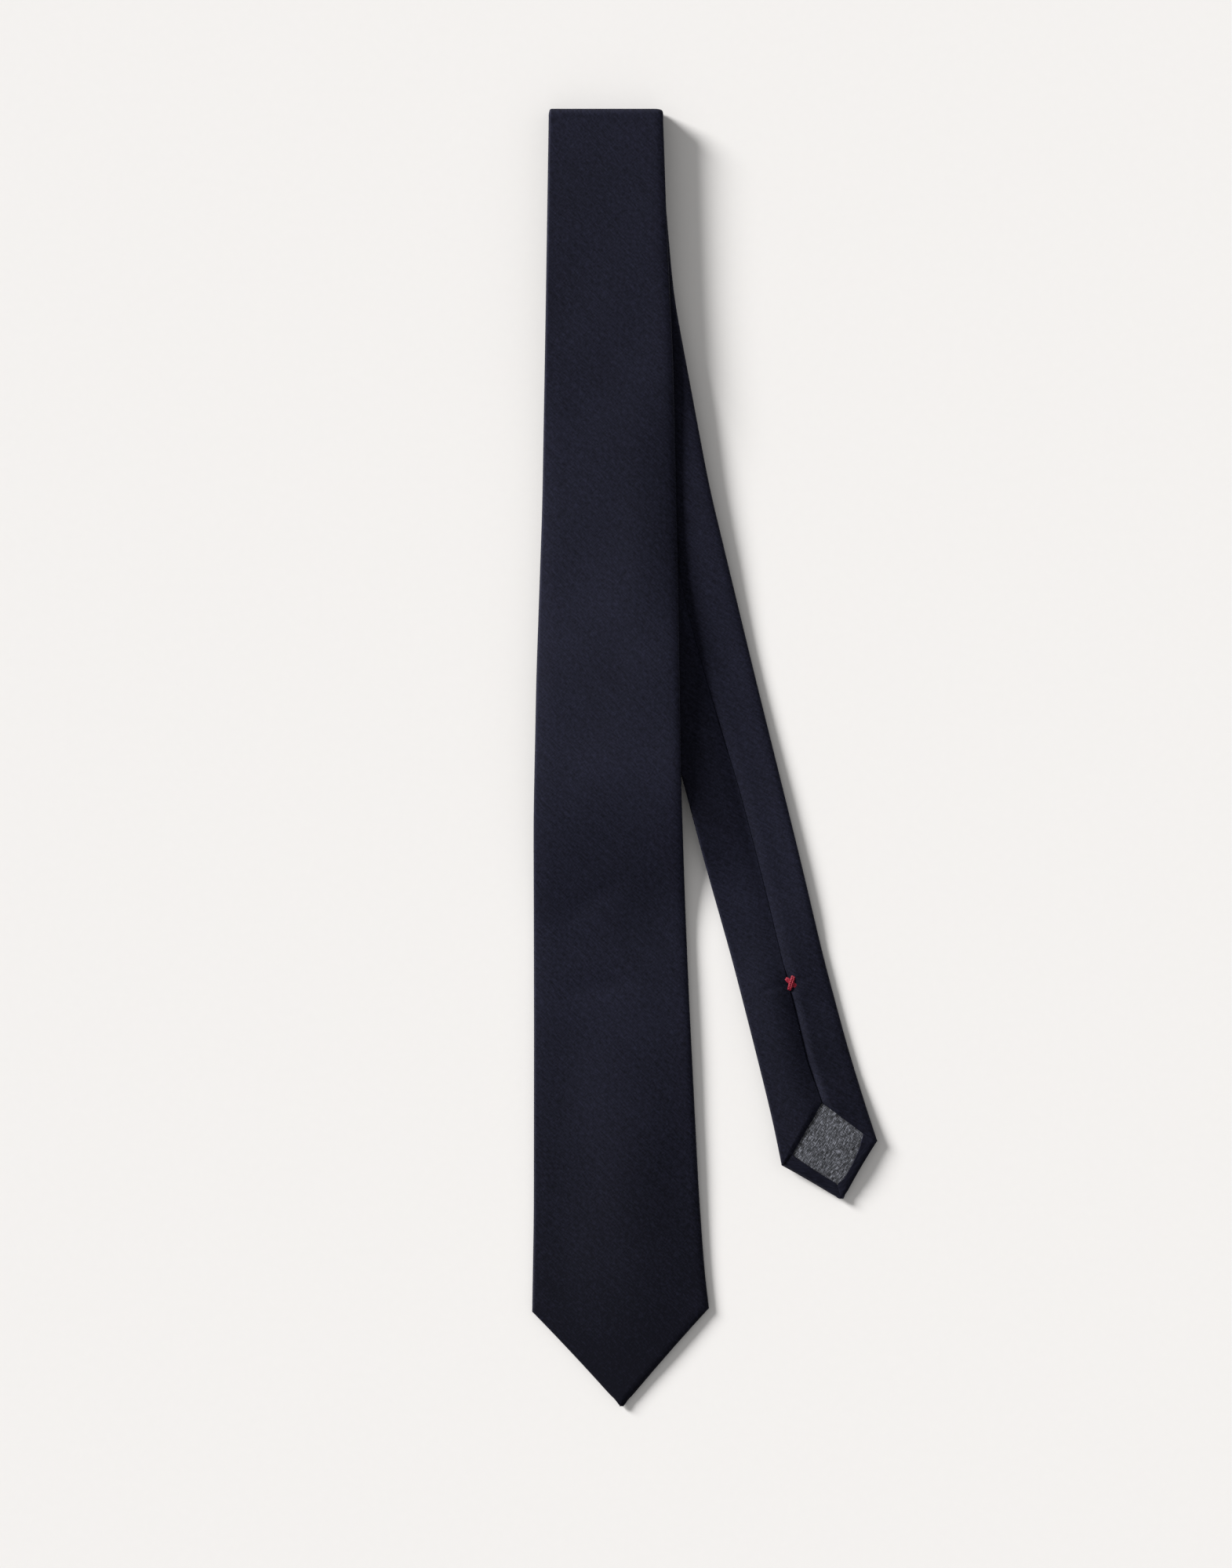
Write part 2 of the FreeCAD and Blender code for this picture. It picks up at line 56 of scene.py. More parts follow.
def smooth_line(points, smoothing):
    """A function through (position, value) pairs, with its corners rounded. It is level beyond its ends."""
    places, values = np.array(sorted(points), float).T
    dense = np.linspace(places[0], places[-1], 1600)
    line = np.interp(dense, places, values)
    reach = max(3, int(smoothing / (dense[1] - dense[0])) | 1)
    window = np.hanning(reach + 2)
    window /= window.sum()
    half = len(window) // 2
    start = 2 * line[0] - line[half:0:-1]
    end = 2 * line[-1] - line[-2:-half - 2:-1]
    smooth = np.convolve(np.concatenate([start, line, end]), window, "valid")
    return lambda at: np.interp(at, dense, smooth)


def eased_line(points):
    """A function through (position, value) pairs that is level at each of them and beyond its ends."""
    places, values = np.array(sorted(points), float).T

    def at(position):
        position = np.clip(position, places[0], places[-1])
        step = np.clip(np.searchsorted(places, position, "right") - 1, 0, len(places) - 2)
        share = (position - places[step]) / (places[step + 1] - places[step])
        rise = (1 - np.cos(np.pi * share)) / 2
        return values[step] + (values[step + 1] - values[step]) * rise

    return at


# ---------------------------------------------------------------- sizes of the lay
CLOTH = 0.22                # thickness of the sleeve's own wall
HALF_THICK = 1.42           # half of the strip's thickness, within the 3 mm of its solid
LAYER = 3.0                 # a strip's thickness in the frame
STEP = 3.5                  # from one layer of the tuck to the next
TOP_Y = 312.2               # outside of the top fold
TUCK_END_Y = 199.0
TOP_RADIUS = 1.5 * STEP
TUCK_RADIUS = STEP / 2      # and the radius of the fold nested in the top fold
LOOP_Z = TOP_RADIUS + LAYER / 2
LOOP_Y = TOP_Y - LOOP_Z
TUCK_Z = TUCK_RADIUS + LAYER / 2
TUCK_Y = TUCK_END_Y + TUCK_Z
NEST_INSET = (4.0, -2.2)    # from the neck's left and right edges to where the nested fold's start, in X

# Where the strips bend when a joint moves.
BLADE_BEND_Y = (-118.0, -162.0)
TAIL_TURN_Y = (252.0, 180.0)
TAIL_TURN_Z = 8.5
TAIL_BEND = Vector((26.0, -62.0, 1.5))
TAIL_TILT = math.radians(14.5)
TAIL_BEND_HALF = 18.0

# Underside of each strip above the surface: (Y, height).
tail_under = smooth_line([(400, 7.0), (208, 7.0), (176, 6.0), (131, 4.1), (86, 2.4), (48, 1.1), (0, 0.9),
                          (-60, 0.7), (-96, 0.1), (-400, 0.1)], 40)
blade_under = eased_line([(205, 10.5), (105, 9.0), (30, 10.4), (0, 10.2), (-94, 1.3), (-130, 1.3),
                          (-180, 1.1), (-240, 0.3), (-400, 0.15)])
# How far the blade leans, with its right edge up on the tail: (Y, rise per length across).
blade_lean = eased_line([(205, 0.0), (150, 0.04), (105, 0.03), (60, 0.055), (0, 0.055), (-80, 0.0)])
# How far the blade's edges hang below its middle: (Y, drop).
left_sag = eased_line([(205, 0.0), (80, 0.8), (0, 0.8), (-88, 0.0)])
right_sag = eased_line([(196, 0.0), (130, 2.6), (84, 2.8), (44, 1.2), (0, 0.3), (-70, 0.0)])
# The long hump in the lower part of each end: (Y, height), and its section: (share across, share of it).
blade_hump = eased_line([(-108, 0.0), (-190, 2.4), (-240, 2.2), (-304, 0.0)])
blade_hump_section = eased_line([(0.1, 0.0), (0.6, 1.0), (1.08, 0.0)])
tail_hump = eased_line([(-62, 0.0), (-140, 3.9), (-185, 4.0), (-216, 1.1)])
tail_hump_section = eased_line([(-0.1, 0.76), (0.28, 1.0), (0.56, 0.82), (1.1, 0.0)])
# The valley along the tail's seam below its tack: (Y, depth), and its section: (share across, share of it).
tail_valley = eased_line([(-98, 0.0), (-124, 1.9), (-146, 1.5), (-170, 0.1), (-400, 0.0)])
tail_valley_section = smooth_line([(-1.0, 0.0), (0.31, 0.0), (0.44, 0.22), (0.555, 1.0), (0.60, 1.0),
                                   (0.7, 0.96), (0.8, 0.72), (0.9, 0.4), (1.1, 0.0), (2.0, 0.0)], 0.05)
# How far the tail's left edge stands up under the blade, and its right edge curls up: (Y, lift).
left_flap_lift = eased_line([(116, 0.0), (60, 5.6), (10, 6.6), (-28, 5.6), (-68, 0.6), (-90, 0.0)])
right_edge_lift = eased_line([(30, 0.0), (-20, 0.6), (-70, 0.9), (-96, 0.0)])
# The lift of the tail's outer corner, and where it starts.
CORNER_LIFT, CORNER_X, CORNER_Y = 1.6, (52.0, 83.0), (-150.0, -184.0)
# How much thinner the blade is at its edges than in its middle, as a share: (Y, share), and how far in.
left_crown = eased_line([(200, 0.0), (150, 0.35), (-90, 0.4), (-120, 0.25), (-290, 0.1), (-400, 0.0)])
right_crown = eased_line([(400, 0.2), (200, 0.3), (-60, 0.2), (-110, 0.0)])
LEFT_CROWN_REACH, RIGHT_CROWN_REACH = 9.0, 6.5
CROWN_FADE = 30.0           # the length below the top fold over which this starts

# Outlines in plan: (Y, X) down each edge.
BLADE_LEFT = [(312.2, -75.0), (210, -76.6), (120, -78.2), (40, -81.0), (-30, -82.4), (-130, -82.2),
              (-220, -82.3), (-266.7, -83.1)]
BLADE_RIGHT = [(312.2, -20.2), (256, -18.3), (190, -15.2), (90, -12.9), (-12, -11.4), (-73, -9.3),
               (-118, -7.4), (-164, -5.1), (-209, -2.8), (-248, 0.0), (-265.0, 2.1)]
BLADE_CORNERS = ((-83.1, -266.7), (2.1, -265.0))
BLADE_TIP = (-39.9, -312.2)
NECK_LEFT = [(312.2, -75.0), (285, -71.5), (199, -69.0)]
NECK_RIGHT = [(312.2, -20.2), (285, -22.3), (199, -22.8)]
TAIL_LEFT = [(312.2, -67.0), (214, -60.2), (131, -43.6), (40, -24.2), (-50, -0.2), (-96, 12.9),
             (-141, 24.4), (-175, 32.8), (-196.1, 37.0)]
TAIL_RIGHT = [(312.2, -22.8), (222, -14.9), (131, 2.1), (40, 24.1), (-50, 46.4), (-96, 57.2),
              (-141, 69.3), (-175, 79.9), (-184.4, 83.1)]
TAIL_CORNERS = ((37.0, -196.1), (83.1, -184.4))
TAIL_TIP = (65.7, -212.2)
BLADE_TIP_WIDTH, TAIL_TIP_WIDTH = 1.6, 2.4
# A tip's slanted edges: how much its stations crowd to the point, how far the edges bow inwards, and the
# pinch just before the point: (depth, share of the way, width as a share).
TIP_CROWDING, TIP_BOW, TIP_PINCH = 0.93, 0.55, (0.35, 0.93, 0.04)

# The back of each end: where the flaps open, and the window of tipping between flaps and hem.
TAIL_WINDOW = {"top": (56.4, -165.9), "left": (42.1, -191.0), "bottom": (63.8, -205.1),
               "right": (76.3, -180.9), "hem_left": [(53.2, -198.6)],
               "hem_right": [(74.0, -188.7), (70.7, -196.1), (66.7, -202.9)], "part": "tail_end",
               "corners": TAIL_CORNERS, "tip": TAIL_TIP, "bulge": np.array([0.8, -0.5])}
BLADE_WINDOW = {"top": (-40.6, -218.0), "left": (-72.8, -260.4), "bottom": (-40.0, -296.5),
                "right": (-7.8, -258.6), "hem_left": [], "hem_right": [(-22.0, -278.6)], "part": "blade_end",
                "corners": BLADE_CORNERS, "tip": BLADE_TIP, "bulge": np.array([0.0, 0.0])}
TAIL_TACK = (41.7, -108.2)
BLADE_TACK = (-42.2, -172.0)
# The arms of a tack: direction in degrees, half length, and height at the crown.
TACK_ARMS = ((73.0, 3.8, 1.75), (-38.0, 3.5, 1.40))
KEEPER_Y, KEEPER_WIDTH, KEEPER_REACH = -42.0, 14.0, 25.0

# Where the two flaps meet on the back.
SEAM_POINTS = [("blade_end", BLADE_TACK), ("blade_upper", (-45.0, -100.0)), ("blade_upper", (-46.8, 90.0)),
               ("blade_upper", (-47.6, 290.0)), ("tail_turn", (-36.5, 214.0)), ("tail_upper", (-8.0, 70.0)),
               ("tail_upper", (16.3, -14.0)), ("tail_upper", (22.0, -35.0)), ("tail_bend", (29.8, -66.0)),
               ("tail_end", (37.0, -96.0)), ("tail_end", (42.8, -118.0)), ("tail_end", (49.5, -146.0))]

# The interlining: its levels over the mid plane towards the front, its gap to the edges, and the
# narrowest strip that holds it.
WOOL_LEVELS = (-0.02, 0.86)
WOOL_INSET = 3.2
WOOL_NARROWEST = 12.0

# Heights of the back's layers above the sleeve's mid plane.
TIPPING_LEVEL = 0.02
HEM_LEVEL = 0.72
UNDER_TURN = 0.22
TURNED_FOOT = 0.42
SEAM_UNDERLAP = 0.34        # the right flap where it runs beneath the left one
SEAM_FOOT = 0.38            # the left flap's turned edge on it
LEFT_SEAM_RISE = 0.46       # and how far each flap stands up at the seam itself
RIGHT_SEAM_RISE = 0.38


edges = {
    "blade": (smooth_line(BLADE_LEFT, 40), smooth_line(BLADE_RIGHT, 40)),
    "neck": (smooth_line(NECK_LEFT, 20), smooth_line(NECK_RIGHT, 20)),
    "tail": (smooth_line(TAIL_LEFT, 50), smooth_line(TAIL_RIGHT, 50)),
}


# ---------------------------------------------------------------- stations
def side_stations(name, lows, highs, under, spacing=2.6):
    """Stations between two pairs of heights along Y: lows and highs are (left Y, right Y)."""
    count = max(2, int(round(abs(highs[0] - lows[0]) / spacing)) + 1)
    share = np.linspace(0, 1, count)
    sides = []
    for edge, low, high in zip(edges[name], lows, highs):
        y = low + (high - low) * share
        sides.append(np.stack([edge(y), y, under(y) + LAYER / 2], 1))
    return sides


def tip_stations(corners, tip, tip_width, under, spacing=1.0):
    """Stations from a strip's two corners to its point, which is blunt and a little drawn out."""
    count = int(abs(tip[1] - corners[0][1]) / spacing)
    share = np.linspace(0, 1, count + 1) ** TIP_CROWDING
    bow = TIP_BOW * np.sin(np.pi * np.clip(share * 1.04, 0, 1)) ** 0.7
    pinch = TIP_PINCH[0] * np.exp(-((share - TIP_PINCH[1]) / TIP_PINCH[2]) ** 2)
    sides = []
    for corner, sign in zip(corners, (-1, 1)):
        end = np.array([tip[0] + sign * tip_width / 2, tip[1]])
        line = np.outer(1 - share, corner) + np.outer(share, end)
        line[:, 0] -= sign * (bow + pinch)
        sides.append(np.column_stack([line, under(line[:, 1]) + LAYER / 2]))
    return sides


def loop_stations(centre_y, centre_z, radius, left_x, right_x, start_deg, end_deg, count, squareness=2.0):
    """Stations round a fold. Angles are from +Y towards +Z. A fold squarer than 2 is pressed flat."""
    turn = np.radians(np.linspace(start_deg, end_deg, count))
    power = 2 / squareness
    y = centre_y + radius * np.sign(np.cos(turn)) * np.abs(np.cos(turn)) ** power
    z = centre_z + radius * np.sign(np.sin(turn)) * np.abs(np.sin(turn)) ** power
    return [np.stack([np.linspace(*x, count), y, z], 1) for x in (left_x, right_x)]


def blade_runs():
    """From the tip to the far side of the top fold, with a name for each run."""
    tip = tip_stations(BLADE_CORNERS, BLADE_TIP, BLADE_TIP_WIDTH, blade_under)
    runs = [("blade_end", [side[::-1] for side in tip])]
    low = tuple(corner[1] for corner in BLADE_CORNERS)
    stops = (("blade_end", BLADE_BEND_Y[1]), ("blade_bend", BLADE_BEND_Y[0]), ("blade_upper", LOOP_Y))
    for name, high in stops:
        runs.append((name, side_stations("blade", low, (high, high), blade_under)))
        low = (high, high)
    spans = [(side[-1, 0], edge(LOOP_Y)) for side, edge in zip(runs[-1][1], edges["neck"])]
    loop = loop_stations(LOOP_Y, LOOP_Z, TOP_RADIUS, *spans, 90, -90, 49, squareness=10.0)
    return runs + [("top_fold", loop)]


def neck_runs():
    """Lower run, tuck fold, upper run, nested fold and the start of the tail, to where it turns."""
    def level(z):
        return lambda y: np.full_like(y, z)

    tuck_spans = [(float(edge(TUCK_Y)),) * 2 for edge in edges["neck"]]
    nest_spans = [(float(neck(LOOP_Y)) + inset, float(tail(LOOP_Y)))
                  for neck, tail, inset in zip(edges["neck"], edges["tail"], NEST_INSET)]
    lower = side_stations("neck", (LOOP_Y, LOOP_Y), (TUCK_Y, TUCK_Y), level(0.0), 5.0)
    tuck = loop_stations(TUCK_Y, TUCK_Z, TUCK_RADIUS, *tuck_spans, -90, -270, 17)
    upper = side_stations("neck", (TUCK_Y, TUCK_Y), (LOOP_Y, LOOP_Y), level(STEP), 5.0)
    narrowing = np.linspace(0, 1, len(upper[0]))
    for side, (x, _) in zip(upper, nest_spans):
        side[:, 0] += narrowing * (x - side[-1, 0])
    nest = loop_stations(LOOP_Y, LOOP_Z, TUCK_RADIUS, *nest_spans, -90, 90, 17)
    start = side_stations("tail", (LOOP_Y, LOOP_Y), (TAIL_TURN_Y[0],) * 2, tail_under, 5.0)
    return [("neck", run) for run in (lower, tuck, upper, nest, start)]


def tail_cut(offset):
    """Where a line across the tail, so far beyond its bend, meets its left and right edges: two Ys."""
    y = np.linspace(TAIL_BEND.y - 60, TAIL_BEND.y + 60, 1201)
    cut = []
    for edge in edges["tail"]:
        beyond = (edge(y) - TAIL_BEND.x) * math.sin(TAIL_TILT) - (y - TAIL_BEND.y) * math.cos(TAIL_TILT)
        cut.append(float(np.interp(-offset, -beyond, y)))
    return tuple(cut)


def tail_runs():
    """From where the tail turns to its tip. Its stations tilt with it."""
    stops = [(TAIL_TURN_Y[0],) * 2, (TAIL_TURN_Y[1] - 1.5, TAIL_TURN_Y[1]), tail_cut(-TAIL_BEND_HALF),
             tail_cut(TAIL_BEND_HALF), tuple(corner[1] for corner in TAIL_CORNERS)]
    names = ("tail_turn", "tail_upper", "tail_bend", "tail_end")
    spacings = (2.6, 2.6, 1.8, 1.0)
    runs = [(name, side_stations("tail", low, high, tail_under, spacing))
            for name, low, high, spacing in zip(names, stops, stops[1:], spacings)]
    return runs + [("tail_end", tip_stations(TAIL_CORNERS, TAIL_TIP, TAIL_TIP_WIDTH, tail_under, 0.6))]


# ---------------------------------------------------------------- the sleeve's sections
EDGE_STEPS = np.array([0.0, 0.12, 0.35, 0.75, 1.3, 2.1, 3.1, 4.4])
ROLL_STEPS = np.array([0.0, 0.02, 0.07, 0.16, 0.3, 0.48, 0.7, 1.0])
HEM_ROLL = np.array([0.0, 0.1, 0.3])
LEFT_ROLL_REACH = (7.5, 3.6)    # the left flap slopes down: into the closed seam, and beside the window
RIGHT_ROLL_REACH = (5.5, 1.2)   # and the right flap
BELOW_TACK = 0.7                # the share of the right flap's slope that is left below the tail's tack
HEM_LIP = (0.42, 0.62, 1.0)     # how the hem's edge rises, as shares of its level
HEM_FADE = 1.2                  # the hem stands at its full level where it is this wide
HEM_FLUSH = 0.8                 # how flush the hems' edges lie where they meet beyond the window
UNDERLAP_RUN = (1.6, 0.6)       # how far the right flap's last two lines run on beneath the left one
TURN_UNDER = (2.4, 0.25)        # how far a turned edge's last two lines lie behind it
OPEN_GAPS = (3.0, 8.0)          # the gaps between the hems and between the flaps that count as open
TACK_FADE = 6.0                 # the length of the change at the tail's tack
FLAP_FALL = 1.6                 # how round the flaps' edges are: 2 is a quarter circle
EDGE_ROUND = 2.3                # and how round the folded edges are
EDGE_REACH = (1.1, 4.2)         # how wide the rolls of the folded edges are, left and right
EDGE_ROOM = 4.0                 # the room that an edge's roll keeps where the flap is narrower
SLANT_MARGIN = 4.0              # how far past its ends a tip's slanted edge still counts
FLAP_SAMPLES, HEM_SAMPLES, FRONT_SAMPLES = 14, 3, 26


class Sleeve:
    """All the stations from the blade's tip to the tail's tip, with the lines on the sleeve's back."""

    def __init__(self, runs):
        # Each run starts on the last station of the one before.
        self.left, self.right = (
            np.concatenate([run[side][min(i, 1):] for i, (_, run) in enumerate(runs)]) for side in (0, 1))
        self.parts = {}
        last = 0
        for name, run in runs:
            first = last
            last = first + len(run[0]) - 1
            self.parts[name] = (self.parts.get(name, (first,))[0], last)
        self.count = len(self.left)
        centre = (self.left + self.right) / 2
        across = self.right - self.left
        self.width = np.linalg.norm(across, axis=1)
        self.across = across / self.width[:, None]
        up = np.cross(self.across, np.gradient(centre, axis=0))
        self.up = up / np.linalg.norm(up, axis=1)[:, None]
        steps = np.linalg.norm(np.diff(centre, axis=0), axis=1)
        self.along = np.concatenate([[0], np.cumsum(steps)])
        self.slants = []

    def rows(self, part):
        """The stations of one named part."""
        first, last = self.parts[part]
        return slice(first, last + 1)

    def place(self, point, part):
        """(distance along, share across) of a point in plan, looked for near one named part."""
        rows = self.rows(part)
        along = self.along[rows]
        toward = np.array(point, float) - self.left[rows, :2]
        across = self.across[rows, :2]
        share = (toward * across).sum(1) / self.width[rows]
        beyond = toward[:, 0] * across[:, 1] - toward[:, 1] * across[:, 0]
        a = int(np.argmin(np.abs(beyond)))
        for b in (a - 1, a + 1):
            if 0 <= b < len(beyond) and beyond[a] * beyond[b] < 0:
                step = beyond[a] / (beyond[a] - beyond[b])
                return along[a] + step * (along[b] - along[a]), share[a] + step * (share[b] - share[a])
        return along[a], share[a]

    def route(self, points, part, pieces=6):
        """The places of a route through points in plan, straight from one to the next."""
        spots = [np.array(points[0], float)]
        for start, end in zip(points, points[1:]):
            start, end = np.array(start, float), np.array(end, float)
            spots += [start + (end - start) * (k + 1) / pieces for k in range(pieces)]
        return [self.place(spot, part) for spot in spots]

    def set_lines(self, seam, windows):
        """Where each flap and each hem ends, as shares across, for every station."""
        lines = {name: list(seam) for name in ("flap_left", "hem_left", "flap_right", "hem_right")}
        for window in windows:
            part = window["part"]
            tip_along = self.along[0] if part == "blade_end" else self.along[-1]
            corners = [self.place(corner, part)[0] for corner in window["corners"]]
            for i, side in enumerate(("left", "right")):
                flap = self.route([window["top"], window[side]], part)
                hem = self.route([window[side]] + window["hem_" + side] + [window["bottom"]], part)
                lines["flap_" + side] += flap + [(corners[i], float(i)), (tip_along, float(i))]
                lines["hem_" + side] += flap + hem[1:] + [(tip_along, 0.5)]
            tip = np.array(window["tip"])
            self.slants += [(np.array(corner), tip) for corner in window["corners"]]
        for name, line in lines.items():
            line.sort()
            setattr(self, name, np.interp(self.along, [p[0] for p in line], [p[1] for p in line]))


def edge_height(distance, share):
    """Half thickness at a distance from the folded edge: a roll, tighter on the left than on the right."""
    rightness = np.clip((share - 0.3) / 0.4, 0, 1)
    reach = EDGE_REACH[0] + (EDGE_REACH[1] - EDGE_REACH[0]) * rightness
    inward = np.clip(distance / reach, 0, 1)
    return HALF_THICK * (1 - (1 - inward) ** EDGE_ROUND) ** (1 / EDGE_ROUND)


def squeezed(offsets, room):
    """Offsets from an edge, drawn together where the part is too narrow for them."""
    offsets = np.atleast_2d(offsets)
    scale = np.minimum(1.0, room / np.maximum(2.2 * offsets[:, -1], 1e-6))
    return offsets * np.maximum(scale, 0.0)[:, None]


def between(start, end, count, power=1.0):
    """Places between two columns, without the ends, denser near the start for a power above 1."""
    share = np.linspace(0, 1, count + 2)[1:-1] ** power
    return start[:, None] + (end - start)[:, None] * share[None, :]


def half_back(flap, hem, roll_reach, turned_foot, rise, underlap, opened):
    """One half of the back, from its inner end to the folded edge: distances from the edge, and the
    level over the mid plane that each point would have far from any edge. The inner end turns under at
    its foot's level, or, where underlap is 1, runs on beneath the other flap. The flap stands up by rise
    at its very edge, and then slopes up over the reach of its roll. Where the two hems meet, beyond an
    open window, their edges lie almost flush."""
    flap = np.maximum(flap, 0.0)
    hem = np.maximum(hem, flap)
    ones = np.ones(len(flap))
    has_hem = np.clip((hem - flap) / HEM_FADE, 0, 1)
    closed = np.clip(1 - underlap, 0, 1)
    roll_places = squeezed(roll_reach[:, None] * ROLL_STEPS, flap)
    hem_places = squeezed(HEM_ROLL, hem - flap)
    edge_places = squeezed(EDGE_STEPS, np.maximum(flap, EDGE_ROOM))
    foot = has_hem * HEM_LEVEL + (1 - has_hem) * (underlap * SEAM_UNDERLAP + closed * turned_foot)
    end = underlap * SEAM_UNDERLAP + closed * np.minimum(UNDER_TURN + 2 * rise, turned_foot - 0.02)
    turns = (np.minimum(TURN_UNDER[0], 0.5 * hem), TURN_UNDER[1])
    columns = [(np.maximum(hem + underlap * run - closed * turn, 0.0), end)
               for run, turn in zip(UNDERLAP_RUN, turns)]
    for place, level in zip(hem_places.T, HEM_LIP):
        level = level + (1 - level) * HEM_FLUSH * (1 - opened)
        columns.append((hem - place, has_hem * HEM_LEVEL * level + (1 - has_hem) * foot))
    for place in between(hem - hem_places[:, -1], flap, HEM_SAMPLES).T:
        columns.append((place, has_hem * HEM_LEVEL + (1 - has_hem) * foot))
    for place, step in zip(roll_places.T, ROLL_STEPS):
        lift = 1 - (1 - step) ** FLAP_FALL
        stand = foot + rise * (1 - has_hem) if step > 0 else foot
        columns.append((flap - place, stand + (HALF_THICK - stand) * lift))
    inner = flap - roll_places[:, -1]
    outer = np.minimum(edge_places[:, -1], inner)
    for place in between(inner, outer, FLAP_SAMPLES, 1.5).T:
        columns.append((place, HALF_THICK * ones))
    for place in edge_places.T[::-1][:-1]:
        columns.append((np.minimum(place, inner), HALF_THICK * ones))
    return [np.stack(values, 1) for values in zip(*columns)]


def from_line(points, start, end):
    """How far points lie along a line in plan and beside it, and the line's length."""
    start, end = np.array(start, float), np.array(end, float)
    length = np.linalg.norm(end - start)
    line = (end - start) / length
    offset = points[..., :2] - start
    return offset @ line, np.abs(offset[..., 0] * line[1] - offset[..., 1] * line[0]), length


def plan_distance(sleeve, places):
    """Distance of points across each station from the nearest outer edge, slanted ones included."""
    near = np.minimum(places, sleeve.width[:, None] - places)
    spots = sleeve.left[:, None, :2] + sleeve.across[:, None, :2] * places[:, :, None]
    for start, end in sleeve.slants:
        run, side, length = from_line(spots, start, end)
        close = (run > -SLANT_MARGIN) & (run < length + SLANT_MARGIN)
        near = np.where(close, np.minimum(near, side), near)
    return np.maximum(near, 0.0)


def crown(sleeve, places):
    """How much thinner the blade's front is near its edges, as a share of its thickness."""
    y = sleeve.left[:, 1:2]
    from_left = np.clip(1 - places / LEFT_CROWN_REACH, 0, 1)
    from_right = np.clip(1 - (sleeve.width[:, None] - places) / RIGHT_CROWN_REACH, 0, 1)
    thinner = left_crown(y) * from_left ** 2 + right_crown(y) * from_right ** 2
    thinner[sleeve.parts["top_fold"][0]:] = 0.0
    return thinner * np.clip((LOOP_Y - y) / CROWN_FADE, 0, 1)


def sections(sleeve):
    """The outside of the sleeve at every station: places across and heights over the mid plane. It runs
    from the left half's inner end, round the left edge, over the front, and back under the right."""
    width = sleeve.width
    opened = np.clip((sleeve.hem_right - sleeve.hem_left) * width / OPEN_GAPS[0], 0, 1)
    beside = np.clip((sleeve.flap_right - sleeve.flap_left) * width / OPEN_GAPS[1], 0, 1)
    left_reach = LEFT_ROLL_REACH[0] + (LEFT_ROLL_REACH[1] - LEFT_ROLL_REACH[0]) * beside
    above_tack = np.clip((sleeve.left[:, 1] - TAIL_TACK[1]) / TACK_FADE + 0.5, 0, 1)
    seam_reach = RIGHT_ROLL_REACH[0] * (BELOW_TACK + (1 - BELOW_TACK) * above_tack)
    right_reach = seam_reach + (RIGHT_ROLL_REACH[1] - seam_reach) * beside
    none = np.zeros(sleeve.count)
    shut = 1 - np.maximum(opened, beside)
    left_foot = TURNED_FOOT + (SEAM_FOOT - TURNED_FOOT) * shut
    left_place, left_level = half_back(sleeve.flap_left * width, sleeve.hem_left * width, left_reach,
                                       left_foot, LEFT_SEAM_RISE * shut, none, opened)
    right_rise = RIGHT_SEAM_RISE * (shut * above_tack)
    right_from, right_level = half_back((1 - sleeve.flap_right) * width, (1 - sleeve.hem_right) * width,
                                        right_reach, TURNED_FOOT, right_rise, shut, opened)
    right_place = width[:, None] - right_from
    edge_left = squeezed(EDGE_STEPS, width)
    middle = between(edge_left[:, -1], width - edge_left[:, -1], FRONT_SAMPLES)
    front_place = np.concatenate([edge_left, middle, width[:, None] - edge_left[:, ::-1]], 1)
    heights = []
    for place, level in ((left_place, left_level), (right_place, right_level)):
        rolled = edge_height(plan_distance(sleeve, np.clip(place, 0, width[:, None])), place / width[:, None])
        heights.append(-np.minimum(rolled, level))
    front_height = edge_height(plan_distance(sleeve, front_place), front_place / width[:, None])
    front_height *= 1 - crown(sleeve, front_place)
    place = np.concatenate([left_place, front_place, right_place[:, ::-1]], 1)
    height = np.concatenate([heights[0], front_height, heights[1][:, ::-1]], 1)
    front = np.zeros(place.shape[1], bool)
    front[left_place.shape[1] + 2:-(right_place.shape[1] + 2)] = True
    return place, height, front


def offset_inwards(place, height, depth):
    """The section moved inwards by the cloth's thickness, along its own normals."""
    run = np.gradient(place, axis=1)
    rise = np.gradient(height, axis=1)
    length = np.maximum(np.hypot(run, rise), 1e-9)
    return place + rise / length * depth, height - run / length * depth


def ripple(points, waves):
    """A sum of plane waves over the plan."""
    total = np.zeros(points.shape[:-1])
    for amplitude, wavelength, direction, phase in waves:
        angle = math.radians(direction)
        run = points[..., 0] * math.cos(angle) + points[..., 1] * math.sin(angle)
        total += amplitude * np.sin(2 * math.pi * run / wavelength + phase)
    return total


# Undulations: (amplitude, wavelength, direction in degrees, phase).
BLADE_WAVES = [(0.16, 170, 78, 0.4), (0.10, 96, 112, 2.0), (0.07, 61, 40, 4.1), (0.05, 37, 150, 1.2)]
TAIL_WAVES = [(0.08, 120, 70, 1.1), (0.06, 70, 118, 0.3), (0.04, 33, 30, 2.6)]
# Soft creases across the blade's left half: (start, end, depth, reach).
BLADE_CREASES = [((-71.2, -80.5), (-36.1, -55.2), 0.3, 5.0), ((-73.9, -112.7), (-30.1, -107.8), 0.36, 6.0)]
# The hollow under the tail's tack and the puckers that run out from it, as offsets from the tack.
TACK_DENT = (0.45, 4.0)
TACK_PUCKERS = [((-1, 0), (-17, -5), 0.26, 1.7), ((-1, 1), (-12, 9), 0.16, 1.5), ((1, 0), (12, 3), 0.14, 1.5)]


def dent(points, centre, depth, reach):
    """A soft hollow round a point in plan."""
    gap = np.hypot(points[..., 0] - centre[0], points[..., 1] - centre[1])
    return depth * np.exp(-(gap / reach) ** 2)


